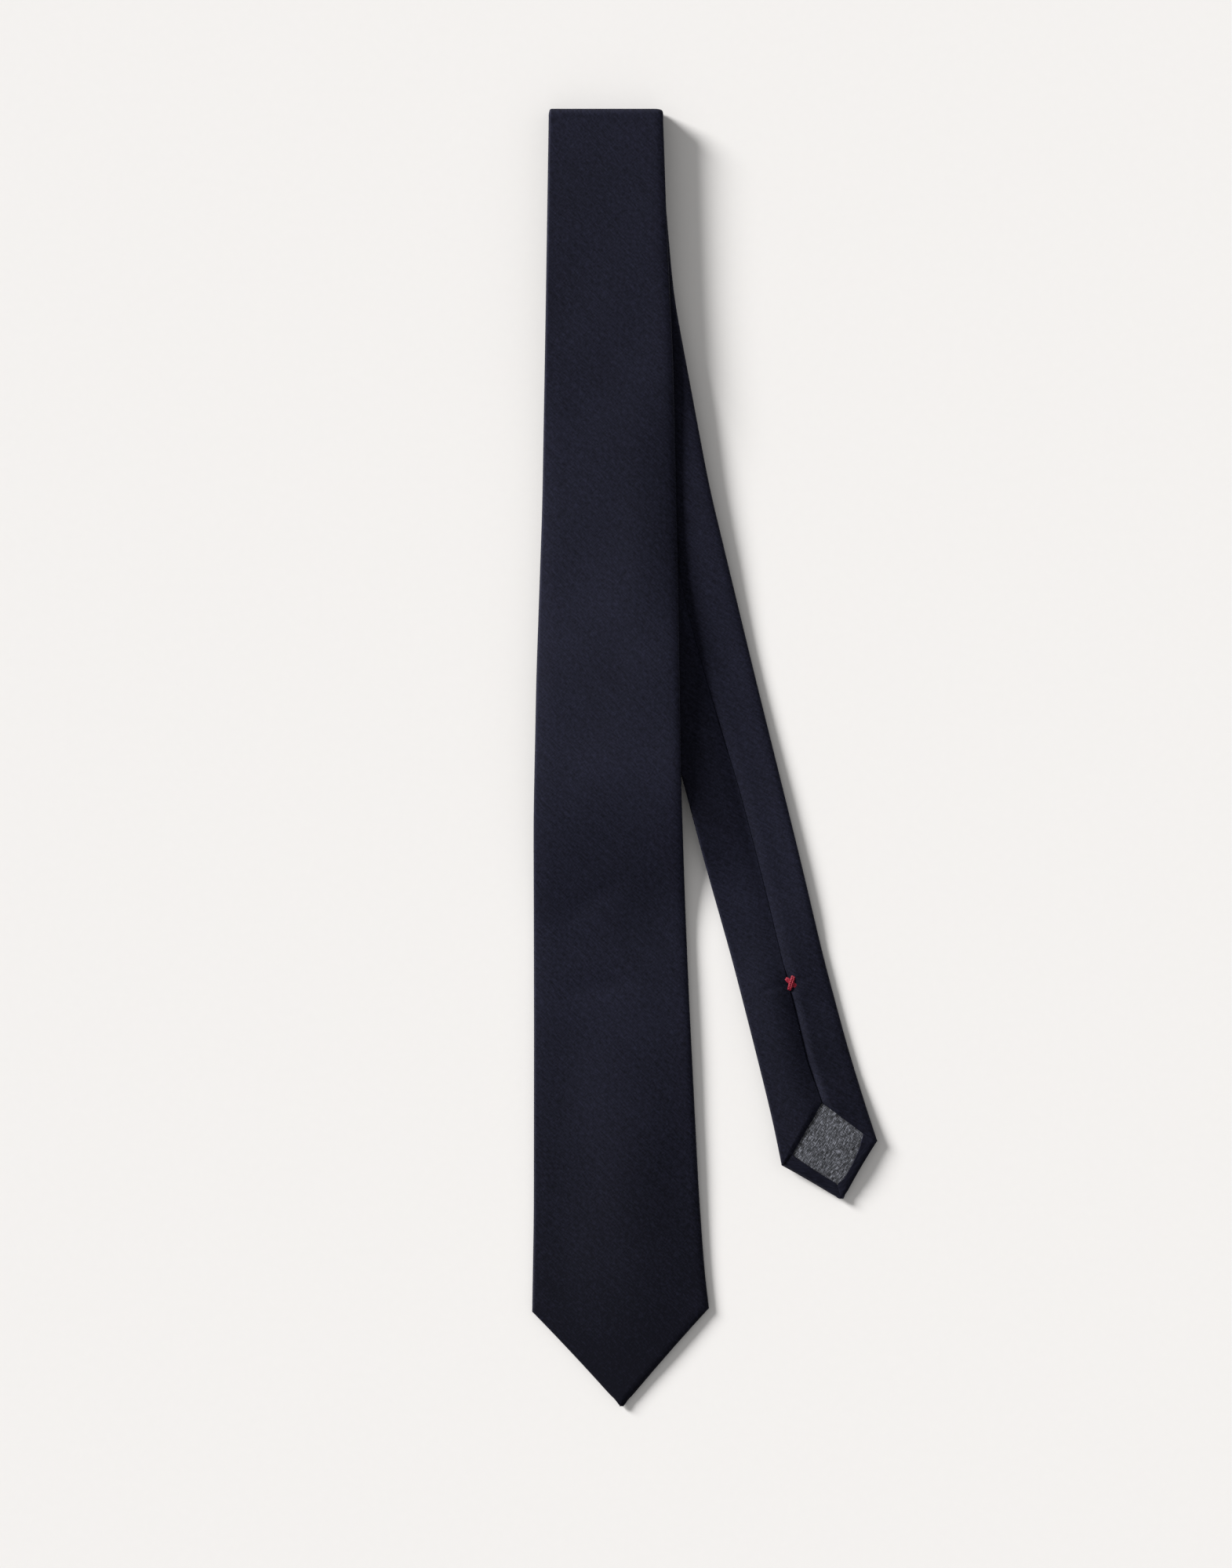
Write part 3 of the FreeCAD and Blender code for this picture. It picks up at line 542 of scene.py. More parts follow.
def crease(points, start, end, depth, reach):
    """A soft hollow along a line in plan, which fades at both ends."""
    run, side, length = from_line(points, start, end)
    fade = np.clip(np.minimum(run, length - run) / (0.35 * length), 0, 1)
    return depth * fade * np.exp(-(side / reach) ** 2)


# How the strips are shaped: the length over which the shape eases in, the room above the surface in which
# the blade waves fully, its lift where it has less, and how high the tail's waves run.
SHAPE_EASE = 60.0
WAVE_ROOM, LOW_WAVE, BLADE_REST, TAIL_REST = 2.0, 0.15, 0.2, 0.15
# Shares across: where the left flap's lift ends, and where the right sag and curl start and their spans.
LEFT_LIFT_END, RIGHT_SAG_ZONE, RIGHT_CURL_ZONE = 0.53, (0.65, 0.35), (0.55, 0.45)


def toward_right(share, zone):
    """Grows as a square from 0 at the zone's start to 1 at the strip's right edge."""
    return np.clip(share - zone[0], 0, 1) ** 2 / zone[1] ** 2


def share_across(points, strip):
    """Where points lie between a strip's left and right edges, and the width between them."""
    left, right = (edge(points[..., 1]) for edge in edges[strip])
    return np.clip((points[..., 0] - left) / (right - left), 0, 1), right - left


def shape_blade(points, front):
    """The blade's sag, lean, hump, undulation and creases, in Z, eased to nothing before the top fold."""
    y = points[..., 1]
    share, width = share_across(points, "blade")
    ease = np.clip((LOOP_Y - y) / SHAPE_EASE, 0, 1)
    sag = (left_sag(y) * (1 - share) ** 2 + right_sag(y) * toward_right(share, RIGHT_SAG_ZONE)
           - blade_hump(y) * blade_hump_section(share) - blade_lean(y) * width * (share - 0.5))
    room = np.clip(blade_under(y) - sag, 0.0, WAVE_ROOM) / WAVE_ROOM
    wave = ripple(points, BLADE_WAVES) * (LOW_WAVE + (1 - LOW_WAVE) * room)
    points[..., 2] += ease * (wave - sag + BLADE_REST * (1 - room))
    for start, end, depth, reach in BLADE_CREASES:
        points[..., 2] -= crease(points, start, end, depth, reach)
    return points


def shape_tail(points, front):
    """The tail's undulation, hump and valley, the lift of its left half under the blade, of its right edge
    and of its outer corner, and the puckers round its bar tack, which are on its back only."""
    y = points[..., 1]
    share, _ = share_across(points, "tail")
    ease = np.clip((TAIL_TURN_Y[0] - y) / SHAPE_EASE, 0, 1)
    points[..., 2] += ease * (ripple(points, TAIL_WAVES) + TAIL_REST)
    points[..., 2] += left_flap_lift(y) * np.clip(1 - share / LEFT_LIFT_END, 0, 1)
    points[..., 2] += tail_hump(y) * tail_hump_section(share)
    points[..., 2] -= tail_valley(y) * tail_valley_section(share)
    points[..., 2] += right_edge_lift(y) * toward_right(share, RIGHT_CURL_ZONE)
    outward, downward = (np.clip((points[..., axis] - near) / (far - near), 0, 1)
                         for axis, (near, far) in enumerate((CORNER_X, CORNER_Y)))
    points[..., 2] += CORNER_LIFT * outward ** 2 * downward
    tack = np.array(TAIL_TACK)
    pull = dent(points, TAIL_TACK, *TACK_DENT)
    for start, end, depth, reach in TACK_PUCKERS:
        pull += crease(points, tack + start, tack + end, depth, reach)
    points[..., 2] -= np.where(front, 0.0, 1.0) * pull
    return points


def shape_none(points, front):
    return points


# ---------------------------------------------------------------- meshes
def put(name, data):
    """A new object in the scene."""
    obj = bpy.data.objects.new(name, data)
    bpy.context.collection.objects.link(obj)
    return obj


def mesh_object(name, vertices, faces, material, uvs=None):
    """A piece from points in millimetres. uvs are cloth coordinates in millimetres, one for each point."""
    mesh = bpy.data.meshes.new(name)
    mesh.from_pydata((np.asarray(vertices) * MM).tolist(), [], faces)
    if uvs is not None:
        layer = mesh.uv_layers.new(name="cloth")
        corner = np.zeros(len(mesh.loops), np.int32)
        mesh.loops.foreach_get("vertex_index", corner)
        layer.data.foreach_set("uv", np.asarray(uvs)[corner].astype(np.float32).ravel())
    mesh.materials.append(material)
    obj = put(name, mesh)
    clean(obj)
    return obj


def clean(obj, distance=2e-6, crisp_deg=55.0):
    """Merges doubled points, drops flat faces, turns every face outwards and keeps the rims crisp."""
    work = bmesh.new()
    work.from_mesh(obj.data)
    bmesh.ops.remove_doubles(work, verts=work.verts, dist=distance)
    bmesh.ops.dissolve_degenerate(work, edges=work.edges, dist=distance / 4)
    bmesh.ops.recalc_face_normals(work, faces=work.faces)
    for face in work.faces:
        face.smooth = True
    for edge in work.edges:
        edge.smooth = edge.calc_face_angle(0.0) < math.radians(crisp_deg)
    work.to_mesh(obj.data)
    work.free()
    obj.data.update()


def wall_faces(rows, columns):
    """Faces of a solid wall: an outer and an inner grid of rows by columns, joined round the rim."""
    size = rows * columns
    faces = []
    for r in range(rows - 1):
        for c in range(columns - 1):
            a = r * columns + c
            b = a + columns
            faces.append((a, a + 1, b + 1, b))
            faces.append((size + a, size + b, size + b + 1, size + a + 1))
    rim = list(range(columns))
    rim += [r * columns + columns - 1 for r in range(1, rows)]
    rim += [(rows - 1) * columns + c for c in range(columns - 2, -1, -1)]
    rim += [r * columns for r in range(rows - 2, 0, -1)]
    for a, b in zip(rim, rim[1:] + rim[:1]):
        faces.append((b, a, size + a, size + b))
    return faces


def grid_solid(name, outer, inner, material, uvs):
    """A solid sheet between two grids of points, each rows by columns."""
    rows, columns = outer.shape[:2]
    vertices = np.concatenate([outer.reshape(-1, 3), inner.reshape(-1, 3)])
    return mesh_object(name, vertices, wall_faces(rows, columns), material,
                       np.concatenate([uvs.reshape(-1, 2)] * 2))


sleeve = Sleeve(blade_runs() + neck_runs() + tail_runs())
sleeve.set_lines([sleeve.place(point, part) for part, point in SEAM_POINTS], [BLADE_WINDOW, TAIL_WINDOW])
PLACES, HEIGHTS, FRONT = sections(sleeve)


def region_shape(row):
    """The undulation that belongs to a station: the blade's, the tail's or none."""
    if row <= sleeve.parts["top_fold"][0]:
        return shape_blade
    if row >= sleeve.parts["tail_turn"][0]:
        return shape_tail
    return shape_none


def to_space(rows, places, heights, front):
    """Points of the frame from places across and heights over the mid plane, at a slice of stations."""
    points = (sleeve.left[rows, None, :] + sleeve.across[rows, None, :] * places[:, :, None]
              + sleeve.up[rows, None, :] * heights[:, :, None])
    for offset, row in enumerate(range(sleeve.count)[rows]):
        points[offset] = region_shape(row)(points[offset], front)
    return points


def cloth_uvs(rows, across):
    """Cloth coordinates at a slice of stations: the place across, and the distance along the sleeve."""
    return np.stack([across, np.repeat(sleeve.along[rows][:, None], across.shape[1], 1)], 2)


def rows_where(part, test):
    """The stations of a part that pass a test, which has a yes or no for every station."""
    rows = sleeve.rows(part)
    return rows.start + np.flatnonzero(test[rows])


def cloth_part(name, part, material):
    """The sleeve's piece at one named part."""
    rows = sleeve.rows(part)
    place, height = PLACES[rows], HEIGHTS[rows]
    depth = np.minimum(CLOTH, 0.1 * sleeve.width[rows])[:, None]
    outer = to_space(rows, place, height, FRONT)
    inner = to_space(rows, *offset_inwards(place, height, depth), FRONT)
    spacing = np.hypot(np.diff(place, axis=1), np.diff(height, axis=1))
    around = np.concatenate([np.zeros((len(place), 1)), np.cumsum(spacing, axis=1)], 1)
    around -= around[:, around.shape[1] // 2][:, None]
    obj = grid_solid(name, outer, inner, material, cloth_uvs(rows, around))
    gaps = np.gradient(sleeve.along[rows])
    girth = float(np.average(around[:, -1] - around[:, 0], weights=gaps))
    return obj, (girth, sleeve.along[rows][-1] - sleeve.along[rows][0])


def lining_part(name, part, material, columns=25):
    """The interlining inside one part of the sleeve, where the sleeve is wide enough for it."""
    wide = rows_where(part, sleeve.width >= WOOL_NARROWEST)
    rows = slice(wide[0], wide[-1] + 1)
    share = np.linspace(0, 1, columns)
    room = sleeve.width[rows] - 2 * WOOL_INSET
    places = WOOL_INSET + room[:, None] * share[None, :]
    middle, half = sum(WOOL_LEVELS) / 2, (WOOL_LEVELS[1] - WOOL_LEVELS[0]) / 2
    rounding = np.sin(np.pi * np.clip(share, 0.03, 0.97)) ** 0.2
    level = half * rounding * np.ones_like(places)
    front = np.full(columns, True)
    surfaces = [to_space(rows, places, middle + sign * level, front) for sign in (1, -1)]
    obj = grid_solid(name, *surfaces, material, cloth_uvs(rows, places))
    return obj, (float(room.mean()), float(sleeve.along[wide[-1]] - sleeve.along[wide[0]]))


def on_back(points, part, heights):
    """Points of the frame over places in plan, at heights over the mid plane measured to the back."""
    rows = sleeve.rows(part)
    spots = []
    for point, height in zip(points, heights):
        toward = np.array(point, float) - sleeve.left[rows, :2]
        run = (toward * sleeve.across[rows, :2]).sum(1)
        gap = np.linalg.norm(toward - run[:, None] * sleeve.across[rows, :2], axis=1)
        row = rows.start + int(np.argmin(gap))
        base = sleeve.left[row] + sleeve.across[row] * run[row - rows.start]
        spot = np.array([point[0], point[1], base[2] - sleeve.up[row][2] * height])
        spots.append(region_shape(row)(spot[None, :], np.array([False]))[0])
    return np.array(spots)


def at_station(row, places, heights):
    """Points on the sleeve's back at one station."""
    return to_space(slice(row, row + 1), places[None, :], heights[None, :], np.full(len(places), False))[0]


def tipping_sheet(name, window, material, spread=2.8, thickness=0.16, rise=0.16, slack=0.05, count=28):
    """The lining that shows in a tip's window. It reaches a little under the flaps and the hem."""
    corners = [np.array(window[k]) for k in ("top", "right", "bottom", "left")]
    middle = sum(corners) / 4
    corners = [c + (c - middle) / np.linalg.norm(c - middle) * spread for c in corners]
    share = np.linspace(0, 1, count)
    u, v = np.meshgrid(share, share, indexing="ij")
    weights = ((1 - u) * (1 - v), u * (1 - v), u * v, (1 - u) * v)
    plan = sum(weight[..., None] * corner for weight, corner in zip(weights, corners))
    plan += (4.2 * np.sin(np.pi * v) * u)[..., None] * window["bulge"]
    bow = np.sin(np.pi * u) * np.sin(np.pi * v)
    level = TIPPING_LEVEL + rise * bow + slack * np.sin(9 * u + 2) * np.sin(7 * v)
    spots = plan.reshape(-1, 2)
    outer, inner = (on_back(spots, window["part"], (level - drop).ravel()).reshape(count, count, 3)
                    for drop in (0.0, thickness))
    obj = grid_solid(name, outer, inner, material, plan)
    return obj, [float(np.linalg.norm(a - b)) for a, b in zip(corners, corners[1:3])]


def thread(name, lines, radius, material, sides=8):
    """Lengths of thread as tubes, each along a list of points, with ends drawn to a point."""
    vertices, faces = [], []
    for line in lines:
        line = np.array(line, float)
        travel = np.gradient(line, axis=0)
        travel /= np.linalg.norm(travel, axis=1)[:, None]
        side = np.cross(travel, [0.0, 0.0, 1.0])
        side /= np.maximum(np.linalg.norm(side, axis=1), 1e-9)[:, None]
        over = np.cross(side, travel)
        base = len(vertices)
        for i, centre in enumerate(line):
            taper = 0.35 if i in (0, len(line) - 1) else 1.0
            for angle in 2 * math.pi * np.arange(sides) / sides:
                ring = math.cos(angle) * side[i] + math.sin(angle) * over[i]
                vertices.append(centre + radius * taper * ring)
        for i in range(len(line) - 1):
            for k in range(sides):
                a = base + i * sides + k
                b = base + i * sides + (k + 1) % sides
                faces.append((a, b, b + sides, a + sides))
        faces.append(tuple(range(base, base + sides))[::-1])
        faces.append(tuple(range(len(vertices) - sides, len(vertices))))
    return mesh_object(name, vertices, faces, material, [(v[0], v[1]) for v in vertices])


def plies(start, end, part, crest, foot=0.55, strands=5, spread=0.44, ply_radius=0.13, turns=3.2, samples=40):
    """Strands of one tack arm: each is two plies twisted round each other, and arches over the seam."""
    line = (end - start) / np.linalg.norm(end - start)
    across = np.array([-line[1], line[0]])
    share = np.linspace(0, 1, samples)
    arch = np.sin(np.pi * share) ** 0.45
    found = []
    for i in range(strands):
        offset = (i - (strands - 1) / 2) * spread
        stack = 0.55 * spread * (i % 2)
        for ply in (0, 1):
            angle = 2 * math.pi * turns * share + math.pi * ply + 0.9 * i
            plan = start + np.outer(share, end - start)
            plan += across * (offset * (0.55 + 0.45 * arch) + ply_radius * 0.9 * np.cos(angle))[:, None]
            height = foot + (crest + stack - foot) * arch + ply_radius * 0.9 * np.sin(angle)
            found.append(on_back(plan, part, height))
    return found


# ---------------------------------------------------------------- materials
class Shading:
    """A node material with a Principled shader, and short ways to add nodes to it."""

    def __init__(self, name, **settings):
        self.material = bpy.data.materials.new(name)
        self.material.use_nodes = True
        self.tree = self.material.node_tree
        self.shader = self.tree.nodes["Principled BSDF"]
        for socket, value in settings.items():
            self.shader.inputs[socket.replace("_", " ").title().replace("Ior", "IOR")].default_value = value

    def add(self, kind, inputs=(), **settings):
        node = self.tree.nodes.new(kind)
        for name, value in settings.items():
            setattr(node, name, value)
        for socket, value in dict(inputs).items():
            if isinstance(value, bpy.types.NodeSocket):
                self.tree.links.new(value, node.inputs[socket])
            else:
                node.inputs[socket].default_value = value
        return node

    def cloth_uv(self):
        return self.add("ShaderNodeUVMap", uv_map="cloth").outputs["UV"]

    def stretched_noise(self, vector, turn_deg, across, along, detail=2.0):
        """Noise drawn out along one direction, like yarns: sizes in the vector's own units."""
        mapping = self.add("ShaderNodeMapping", {"Vector": vector, "Rotation": (0, 0, math.radians(turn_deg)),
                                                 "Scale": (across, along, along)}, vector_type="TEXTURE")
        noise = self.add("ShaderNodeTexNoise", {"Vector": mapping.outputs["Vector"], "Scale": 1.0,
                                                "Detail": detail, "Roughness": 0.55})
        return noise.outputs["Fac"]

    def math(self, operation, a, b=0.0):
        return self.add("ShaderNodeMath", {0: a, 1: b}, operation=operation).outputs["Value"]

    def mix(self, *parts):
        """A weighted sum: each part is (value, weight)."""
        total = None
        for value, weight in parts:
            part = self.math("MULTIPLY", value, weight)
            total = self.math("ADD", total, part) if total else part
        return total

    def ramp(self, factor, stops):
        """Colour by factor: stops are (place, colour)."""
        node = self.add("ShaderNodeValToRGB", {"Fac": factor})
        ramp = node.color_ramp
        for i, (place, colour) in enumerate(stops):
            element = ramp.elements[i] if i < 2 else ramp.elements.new(place)
            element.position = place
            element.color = (*colour, 1.0)
        return node.outputs["Color"]

    def bump(self, height, strength, distance_mm):
        node = self.add("ShaderNodeBump",
                        {"Height": height, "Strength": strength, "Distance": distance_mm * MM})
        self.tree.links.new(node.outputs["Normal"], self.shader.inputs["Normal"])

    def colour(self, socket):
        self.tree.links.new(socket, self.shader.inputs["Base Color"])


def shade(colour, factor):
    return tuple(c * factor for c in colour)


def shell_material():
    """Dark navy cloth cut on the bias: a fine weave that runs at 45 degrees, with a soft sheen."""
    navy = (0.0053, 0.0056, 0.0114)
    look = Shading("navy_bias_cloth", roughness=0.64, specular_ior_level=0.28,
                   specular_tint=(0.67, 0.68, 1.0, 1.0), sheen_weight=0.02, sheen_roughness=0.42,
                   sheen_tint=(0.62, 0.62, 0.85, 1.0))
    uv = look.cloth_uv()
    warp = look.stretched_noise(uv, 45, 0.75, 2.6)
    weft = look.stretched_noise(uv, -45, 0.75, 2.0)
    weave = look.mix((warp, 0.6), (weft, 0.4))
    slub = look.stretched_noise(uv, 45, 1.6, 26.0)
    cloudy = look.stretched_noise(uv, 20, 38.0, 60.0)
    tone = look.mix((weave, 0.72), (slub, 0.18), (cloudy, 0.10))
    # Painted shade: the cloth's colour is darkened towards both tips, standing in for the light falling off
    # there.
    along = look.add("ShaderNodeSeparateXYZ", {"Vector": uv}).outputs["Y"]
    end = float(sleeve.along[-1])
    for start, stop, painted_shade in ((190.0, 0.0, -0.15), (end - 150.0, end - 50.0, -0.05)):
        depth = look.add("ShaderNodeMapRange", {"Value": along, "From Min": start, "From Max": stop,
                                                "To Min": 0.0, "To Max": painted_shade}).outputs["Result"]
        tone = look.math("ADD", tone, depth)
    look.colour(look.ramp(tone, [(0.36, shade(navy, 0.2)), (0.5, navy), (0.64, shade(navy, 2.1))]))
    look.bump(weave, 1.0, 0.12)
    return look.material


def tipping_material():
    """Grey melange lining: light and dark fibres mixed, in a plain weave."""
    grey = (0.062, 0.064, 0.074)
    look = Shading("grey_melange_lining", roughness=0.66, specular_ior_level=0.3, sheen_weight=0.12,
                   sheen_roughness=0.5)
    uv = look.cloth_uv()
    long_fibre = look.stretched_noise(uv, -33, 0.40, 3.0, 3.0)
    cross_fibre = look.stretched_noise(uv, 53, 0.36, 2.2, 3.0)
    slub = look.stretched_noise(uv, -33, 0.50, 2.4, 1.0)
    weave = look.mix((long_fibre, 0.55), (cross_fibre, 0.45))
    tone = look.mix((weave, 0.72), (slub, 0.28))
    stops = [(0.40, shade(grey, 0.10)), (0.46, shade(grey, 0.50)), (0.52, shade(grey, 1.1)),
             (0.59, shade(grey, 3.6))]
    look.colour(look.ramp(tone, stops))
    look.bump(weave, 0.6, 0.18)
    return look.material


def interlining_material():
    """Undyed brushed wool: pale, matt and woolly."""
    wool = (0.62, 0.58, 0.50)
    look = Shading("undyed_wool_felt", roughness=0.9, specular_ior_level=0.15, sheen_weight=0.3)
    uv = look.cloth_uv()
    nap = look.stretched_noise(uv, 10, 0.9, 2.8, 4.0)
    look.colour(look.ramp(nap, [(0.3, shade(wool, 0.78)), (0.7, shade(wool, 1.12))]))
    look.bump(nap, 0.5, 0.3)
    return look.material


def thread_material(name, colour, roughness, sheen):
    """Sewing thread: a fine twist in the colour and the bump, along whichever way it runs."""
    look = Shading(name, roughness=roughness, specular_ior_level=0.5, sheen_weight=sheen, sheen_roughness=0.3)
    place = look.add("ShaderNodeTexCoord").outputs["Object"]
    twist = look.stretched_noise(place, 35, 0.16 * MM, 0.6 * MM, 3.0)
    look.colour(look.ramp(twist, [(0.3, shade(colour, 0.55)), (0.5, colour), (0.72, shade(colour, 1.7))]))
    look.bump(twist, 0.5, 0.06)
    return look.material


def floor_material():
    """Plain pale matt board."""
    look = Shading("pale_floor", roughness=0.9, specular_ior_level=0.1)
    place = look.add("ShaderNodeTexCoord").outputs["Object"]
    grain = look.stretched_noise(place, 0, 0.004, 0.004)
    look.colour(look.ramp(grain, [(0.2, (0.803, 0.784, 0.766)), (0.8, (0.813, 0.794, 0.776))]))
    return look.material


shell_cloth = shell_material()
tipping_cloth = tipping_material()
interlining_cloth = interlining_material()
tack_thread = thread_material("crimson_silk_thread", (0.27, 0.003, 0.021), 0.5, 0.0)
seam_thread = thread_material("navy_sewing_thread", (0.014, 0.015, 0.026), 0.5, 0.2)


# ---------------------------------------------------------------- pieces
PARTS = ("blade_end", "blade_bend", "blade_upper", "top_fold", "neck", "tail_turn", "tail_upper", "tail_bend",
         "tail_end")
BODIES = {"blade_end": "blade_tip", "blade_upper": "blade", "neck": "neck", "tail_upper": "tail",
          "tail_end": "tail_tip"}
MIDDLE_X = -45.0
FOLD_Y, FOLD_Z = 306.0, (3.1, 10.4)     # where the top fold's bend starts and ends
INSIDE = 0.2                            # how far inside its own stations each other bend starts and ends


def bends():
    """For each part that bends: the bodies on its two sides, and where the bend starts and ends."""
    def at(y, z):
        return [MIDDLE_X * MM, y * MM, z * MM]

    run = Vector((math.sin(TAIL_TILT), -math.cos(TAIL_TILT), 0)) * (TAIL_BEND_HALF - INSIDE)
    high, low = BLADE_BEND_Y[0] - INSIDE, BLADE_BEND_Y[1] + INSIDE
    turn_high, turn_low = TAIL_TURN_Y[0] - INSIDE, TAIL_TURN_Y[1] + INSIDE
    return {"blade_bend": ("blade", "blade_tip", at(high, LAYER / 2), at(low, LAYER / 2)),
            "top_fold": ("neck", "blade", at(FOLD_Y, FOLD_Z[0]), at(FOLD_Y, FOLD_Z[1])),
            "tail_turn": ("neck", "tail", at(turn_high, TAIL_TURN_Z), at(turn_low, TAIL_TURN_Z)),
            "tail_bend": ("tail", "tail_tip", (TAIL_BEND - run) * MM, (TAIL_BEND + run) * MM)}


BENDS = bends()


def settle(obj, node, part):
    """Stands for a node, whose own mesh it hides, and rides on its part's body, or, where its part bends,
    keeps its place in the frame.
    """
    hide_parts(node)
    if part in BODIES:
        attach(obj, BODIES[part])
    else:
        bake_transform(obj)


def make_cloth():
    """The shell and the interlining, in one piece each for every part of the sleeve."""
    for part in PARTS:
        cloth, size = cloth_part(part + "_cloth", part, shell_cloth)
        settle(cloth, part + "_shell", part)
        lining, lining_size = lining_part(part + "_wool", part, interlining_cloth)
        settle(lining, part + "_interlining", part)


def make_tippings():
    for name, window in (("blade", BLADE_WINDOW), ("tail", TAIL_WINDOW)):
        lining, size = tipping_sheet(name + "_tipping_cloth", window, tipping_cloth)
        settle(lining, name + "_tipping", window["part"])


def make_tacks():
    """A cross of thick thread over the seam, where the flaps stop being sewn together."""
    for name, part, centre, turn_deg in (("tail_bar_tack", "tail_end", TAIL_TACK, 0.0),
                                         ("blade_bar_tack", "blade_end", BLADE_TACK, 20.0)):
        lines = []
        for angle_deg, half, crest in TACK_ARMS:
            angle = math.radians(angle_deg + turn_deg)
            reach = np.array([math.cos(angle), math.sin(angle)]) * half
            lines += plies(centre - reach, centre + reach, part, crest)
        settle(thread(name + "_thread", lines, 0.17, tack_thread), name, part)


def closed_seam_rows(part, margin=4.0):
    """Stations of one part where its seam is closed."""
    along, rows = sleeve.along, sleeve.rows(part)
    shut = (sleeve.flap_right - sleeve.flap_left) * sleeve.width < 0.02
    inside = (along > along[rows][0] + margin) & (along < along[rows][-1] - margin)
    return rows_where(part, shut & inside)


def make_slip_stitches():
    """The long loose stitches that hold the flaps together, under the left flap's edge."""
    pitch, stitch, inset, drift, end_margin = 12.0, 7.0, 1.2, 0.9, 8.0
    level = np.array([-SEAM_FOOT])
    for part in ("blade_upper", "blade_end", "neck", "tail_upper", "tail_end"):
        rows = closed_seam_rows(part)
        along = sleeve.along[rows]
        lines = []
        for start in np.arange(along[0], along[-1] - end_margin, pitch):
            line = []
            for share in np.linspace(0, 1, 9):
                row = rows[int(np.argmin(np.abs(along - (start + stitch * share))))]
                place = sleeve.flap_left[row] * sleeve.width[row] - inset + drift * share
                line.append(at_station(row, np.array([place]), level)[0])
            keep = [line[0]] + [b for a, b in zip(line, line[1:]) if np.linalg.norm(b - a) > 0.2]
            if len(keep) > 2:
                lines.append(keep)
        stitches = thread(part + "_slip_stitch_thread", lines, 0.1, seam_thread, sides=6)
        settle(stitches, part + "_slip_stitches", part)


def make_panel_seams():
    """The stitching of the slanted seams that join the sleeve's three panels, in the hidden layers."""
    low_y, slant, pitch, stitch, foot, rise = 240.0, 36.0, 0.062, 0.045, -0.14, 0.16
    for name, z, node in (("blade_side_panel_stitches", 0.0, "blade_neck_seam_thread"),
                          ("tail_side_panel_stitches", STEP, "neck_tail_seam_thread")):
        rows = rows_where("neck", np.abs(sleeve.left[:, 2] - z - LAYER / 2) < 0.01)
        lines = []
        for start in np.arange(0.08, 0.92, pitch):
            line = []
            for step in np.linspace(0, stitch, 5):
                share = start + step
                y = low_y + slant * share
                row = rows[int(np.argmin(np.abs(sleeve.left[rows, 1] - y)))]
                bow = HALF_THICK + foot + rise * (1 - abs(2 * step / stitch - 1))
                x = sleeve.left[row, 0] + share * sleeve.width[row]
                line.append((x, y, z + LAYER / 2 + sleeve.up[row, 2] * bow))
            lines.append(line)
        settle(thread(name, lines, 0.09, seam_thread, sides=6), node, "neck")


def make_keeper():
    """The band across the blade's back that the tail can be passed through."""
    inner, outer, loose, rounded = 0.04, 0.26, 0.25, 0.12
    near = rows_where("blade_upper", np.abs(sleeve.left[:, 1] - KEEPER_Y) < KEEPER_WIDTH / 2 + 0.1)
    rows = slice(near[0], near[-1] + 1)
    seam = (sleeve.flap_left * sleeve.width)[rows]
    share = np.linspace(-1, 1, 31)
    places = seam[:, None] + KEEPER_REACH * share[None, :]
    rounding = rounded * (1 - np.linspace(-1, 1, len(places))[:, None] ** 6)
    bow = loose * (1 - share[None, :] ** 4)
    back = np.full(len(share), False)
    lower = to_space(rows, places, -(HALF_THICK + outer + bow + rounding), back)
    upper = to_space(rows, places, -(HALF_THICK + inner + bow - rounding * 0.3), back)
    band = grid_solid("keeper_band", lower, upper, shell_cloth, cloth_uvs(rows, places))
    settle(band, "keeper_loop", "blade_upper")
    make_keeper_tacks(rows, seam)


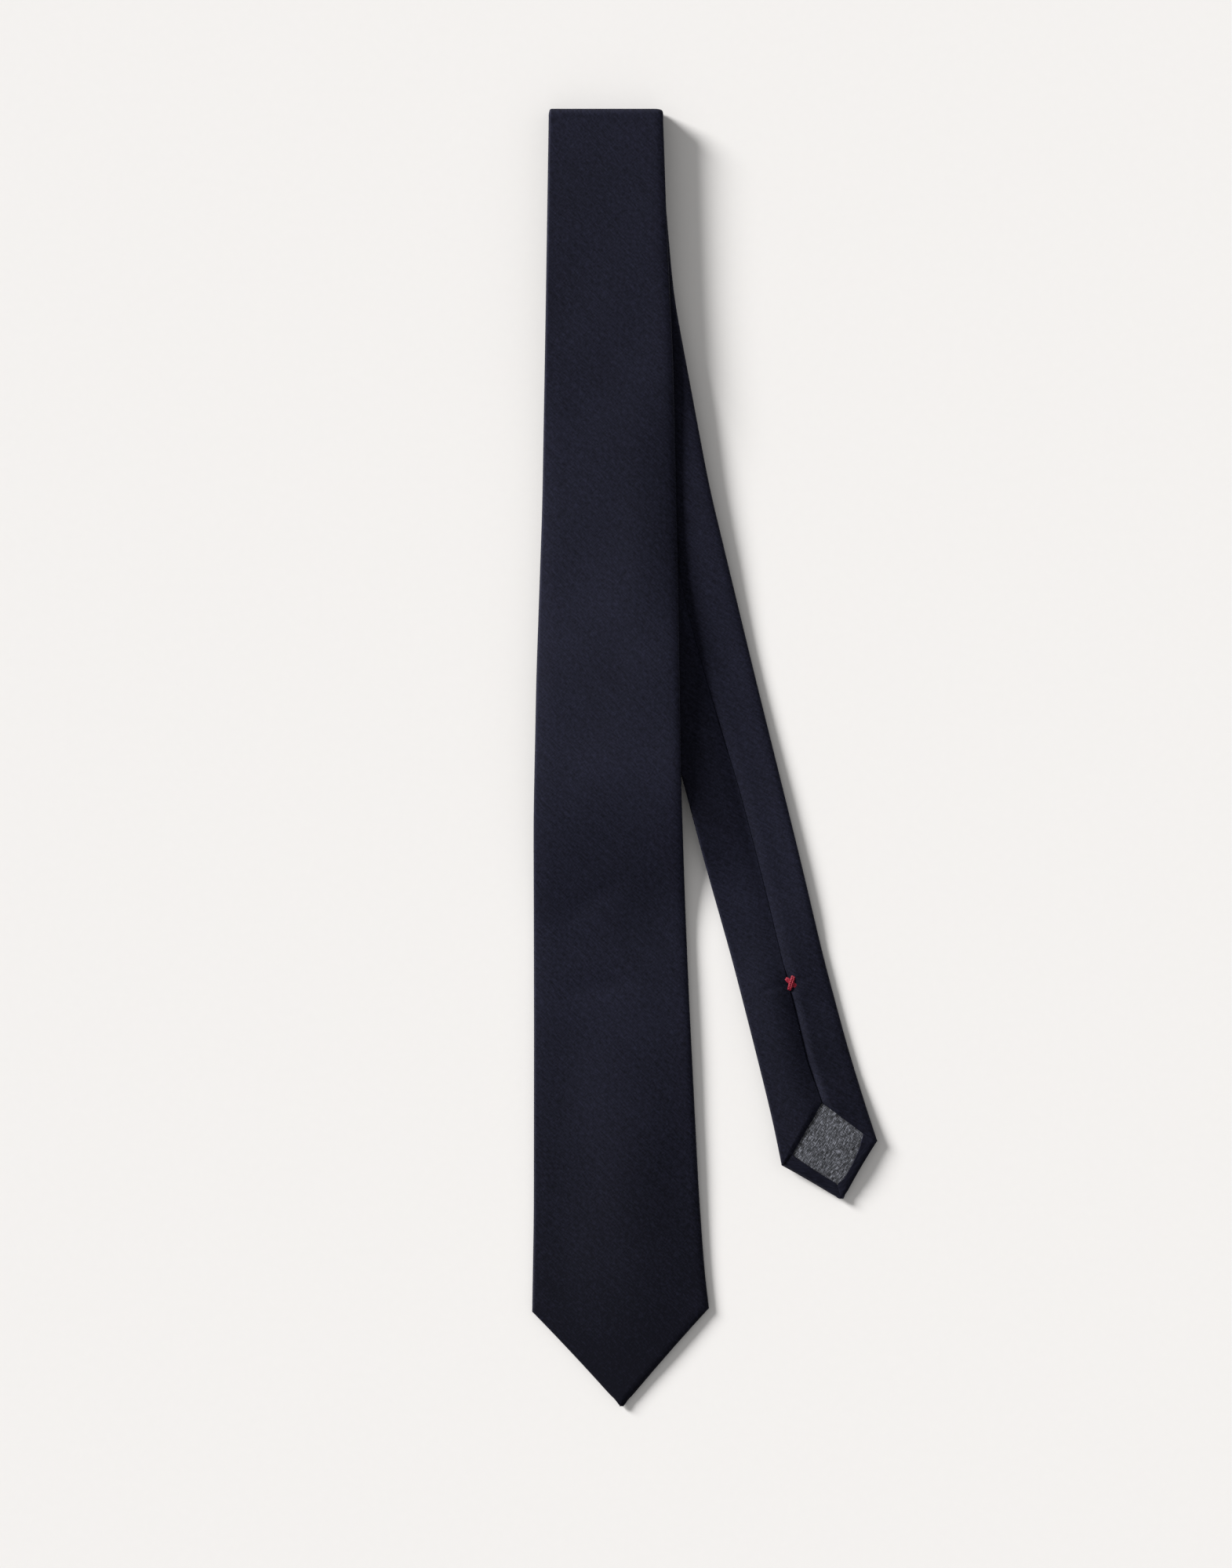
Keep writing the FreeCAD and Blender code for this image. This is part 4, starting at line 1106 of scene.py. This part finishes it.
def make_keeper_tacks(rows, seam):
    """Rows of short stitches that hold the keeper's two ends, from its stations and the seam's places."""
    tack_width, inset, half = 11.0, 1.2, 0.9
    steps = np.linspace(-1, 1, 7)
    lines = []
    for end in (-1, 1):
        for turn in np.linspace(-tack_width / 2, tack_width / 2, 8):
            step = int((turn / KEEPER_WIDTH + 0.5) * (len(seam) - 1))
            spots = seam[step] + end * (KEEPER_REACH - inset) + half * steps
            rise = -(HALF_THICK + 0.34 + 0.10 * np.cos(steps * 1.4))
            lines.append(at_station(rows.start + step, spots, rise))
    tacks = thread("keeper_tack_thread", lines, 0.1, seam_thread, sides=6)
    settle(tacks, "keeper_tacks", "blade_upper")


# ---------------------------------------------------------------- camera, floor and light
def make_camera():
    """Straight down on the tie, from far enough that the edges of the picture lean very little."""
    middle_x, middle_y, height = -42.7, -12.5, 755.6
    camera = bpy.data.cameras.new("camera")
    camera.sensor_fit = "AUTO"
    camera.sensor_width = 36.0
    camera.lens = 200.0
    distance = height / 2 / (camera.sensor_width / 2 / camera.lens)
    obj = put("camera", camera)
    obj.location = Vector((middle_x, middle_y, distance)) * MM
    bpy.context.scene.camera = obj


def make_floor():
    mesh = bpy.data.meshes.new("floor")
    size = 6.0
    mesh.from_pydata([(-size, -size, 0), (size, -size, 0), (size, size, 0), (-size, size, 0)], [],
                     [(0, 1, 2, 3)])
    mesh.materials.append(floor_material())
    put("floor", mesh)


def sun_lamp(name, azimuth_deg, elevation_deg, angle_deg, energy):
    """A far lamp as wide as angle_deg in the sky."""
    azimuth, elevation = math.radians(azimuth_deg), math.radians(elevation_deg)
    lamp = bpy.data.lights.new(name, "SUN")
    lamp.angle = math.radians(angle_deg)
    lamp.energy = energy
    obj = put(name, lamp)
    towards = Vector((math.cos(azimuth) * math.cos(elevation), math.sin(azimuth) * math.cos(elevation),
                      math.sin(elevation)))
    obj.location = towards * 3.0
    obj.rotation_euler = (-towards).to_track_quat("-Z", "Y").to_euler()
    return obj


def make_light():
    """One soft lamp, low at the upper left, a broad matt fill from overhead and a dim pale surround."""
    sun_lamp("softbox", 147.0, 23.0, 20.0, 5.97)
    fill = sun_lamp("overhead_fill", 147.0, 80.0, 170.0, 1.0)
    fill.visible_glossy = False
    world = bpy.data.worlds.new("surround")
    world.use_nodes = True
    background = world.node_tree.nodes["Background"]
    background.inputs["Color"].default_value = (0.96, 0.98, 1.0, 1.0)
    background.inputs["Strength"].default_value = 0.07
    bpy.context.scene.world = world
    bpy.context.scene.view_settings.view_transform = "Standard"


make_camera()
make_floor()
make_light()
make_cloth()
make_tippings()
make_tacks()
make_slip_stitches()
make_panel_seams()
make_keeper()
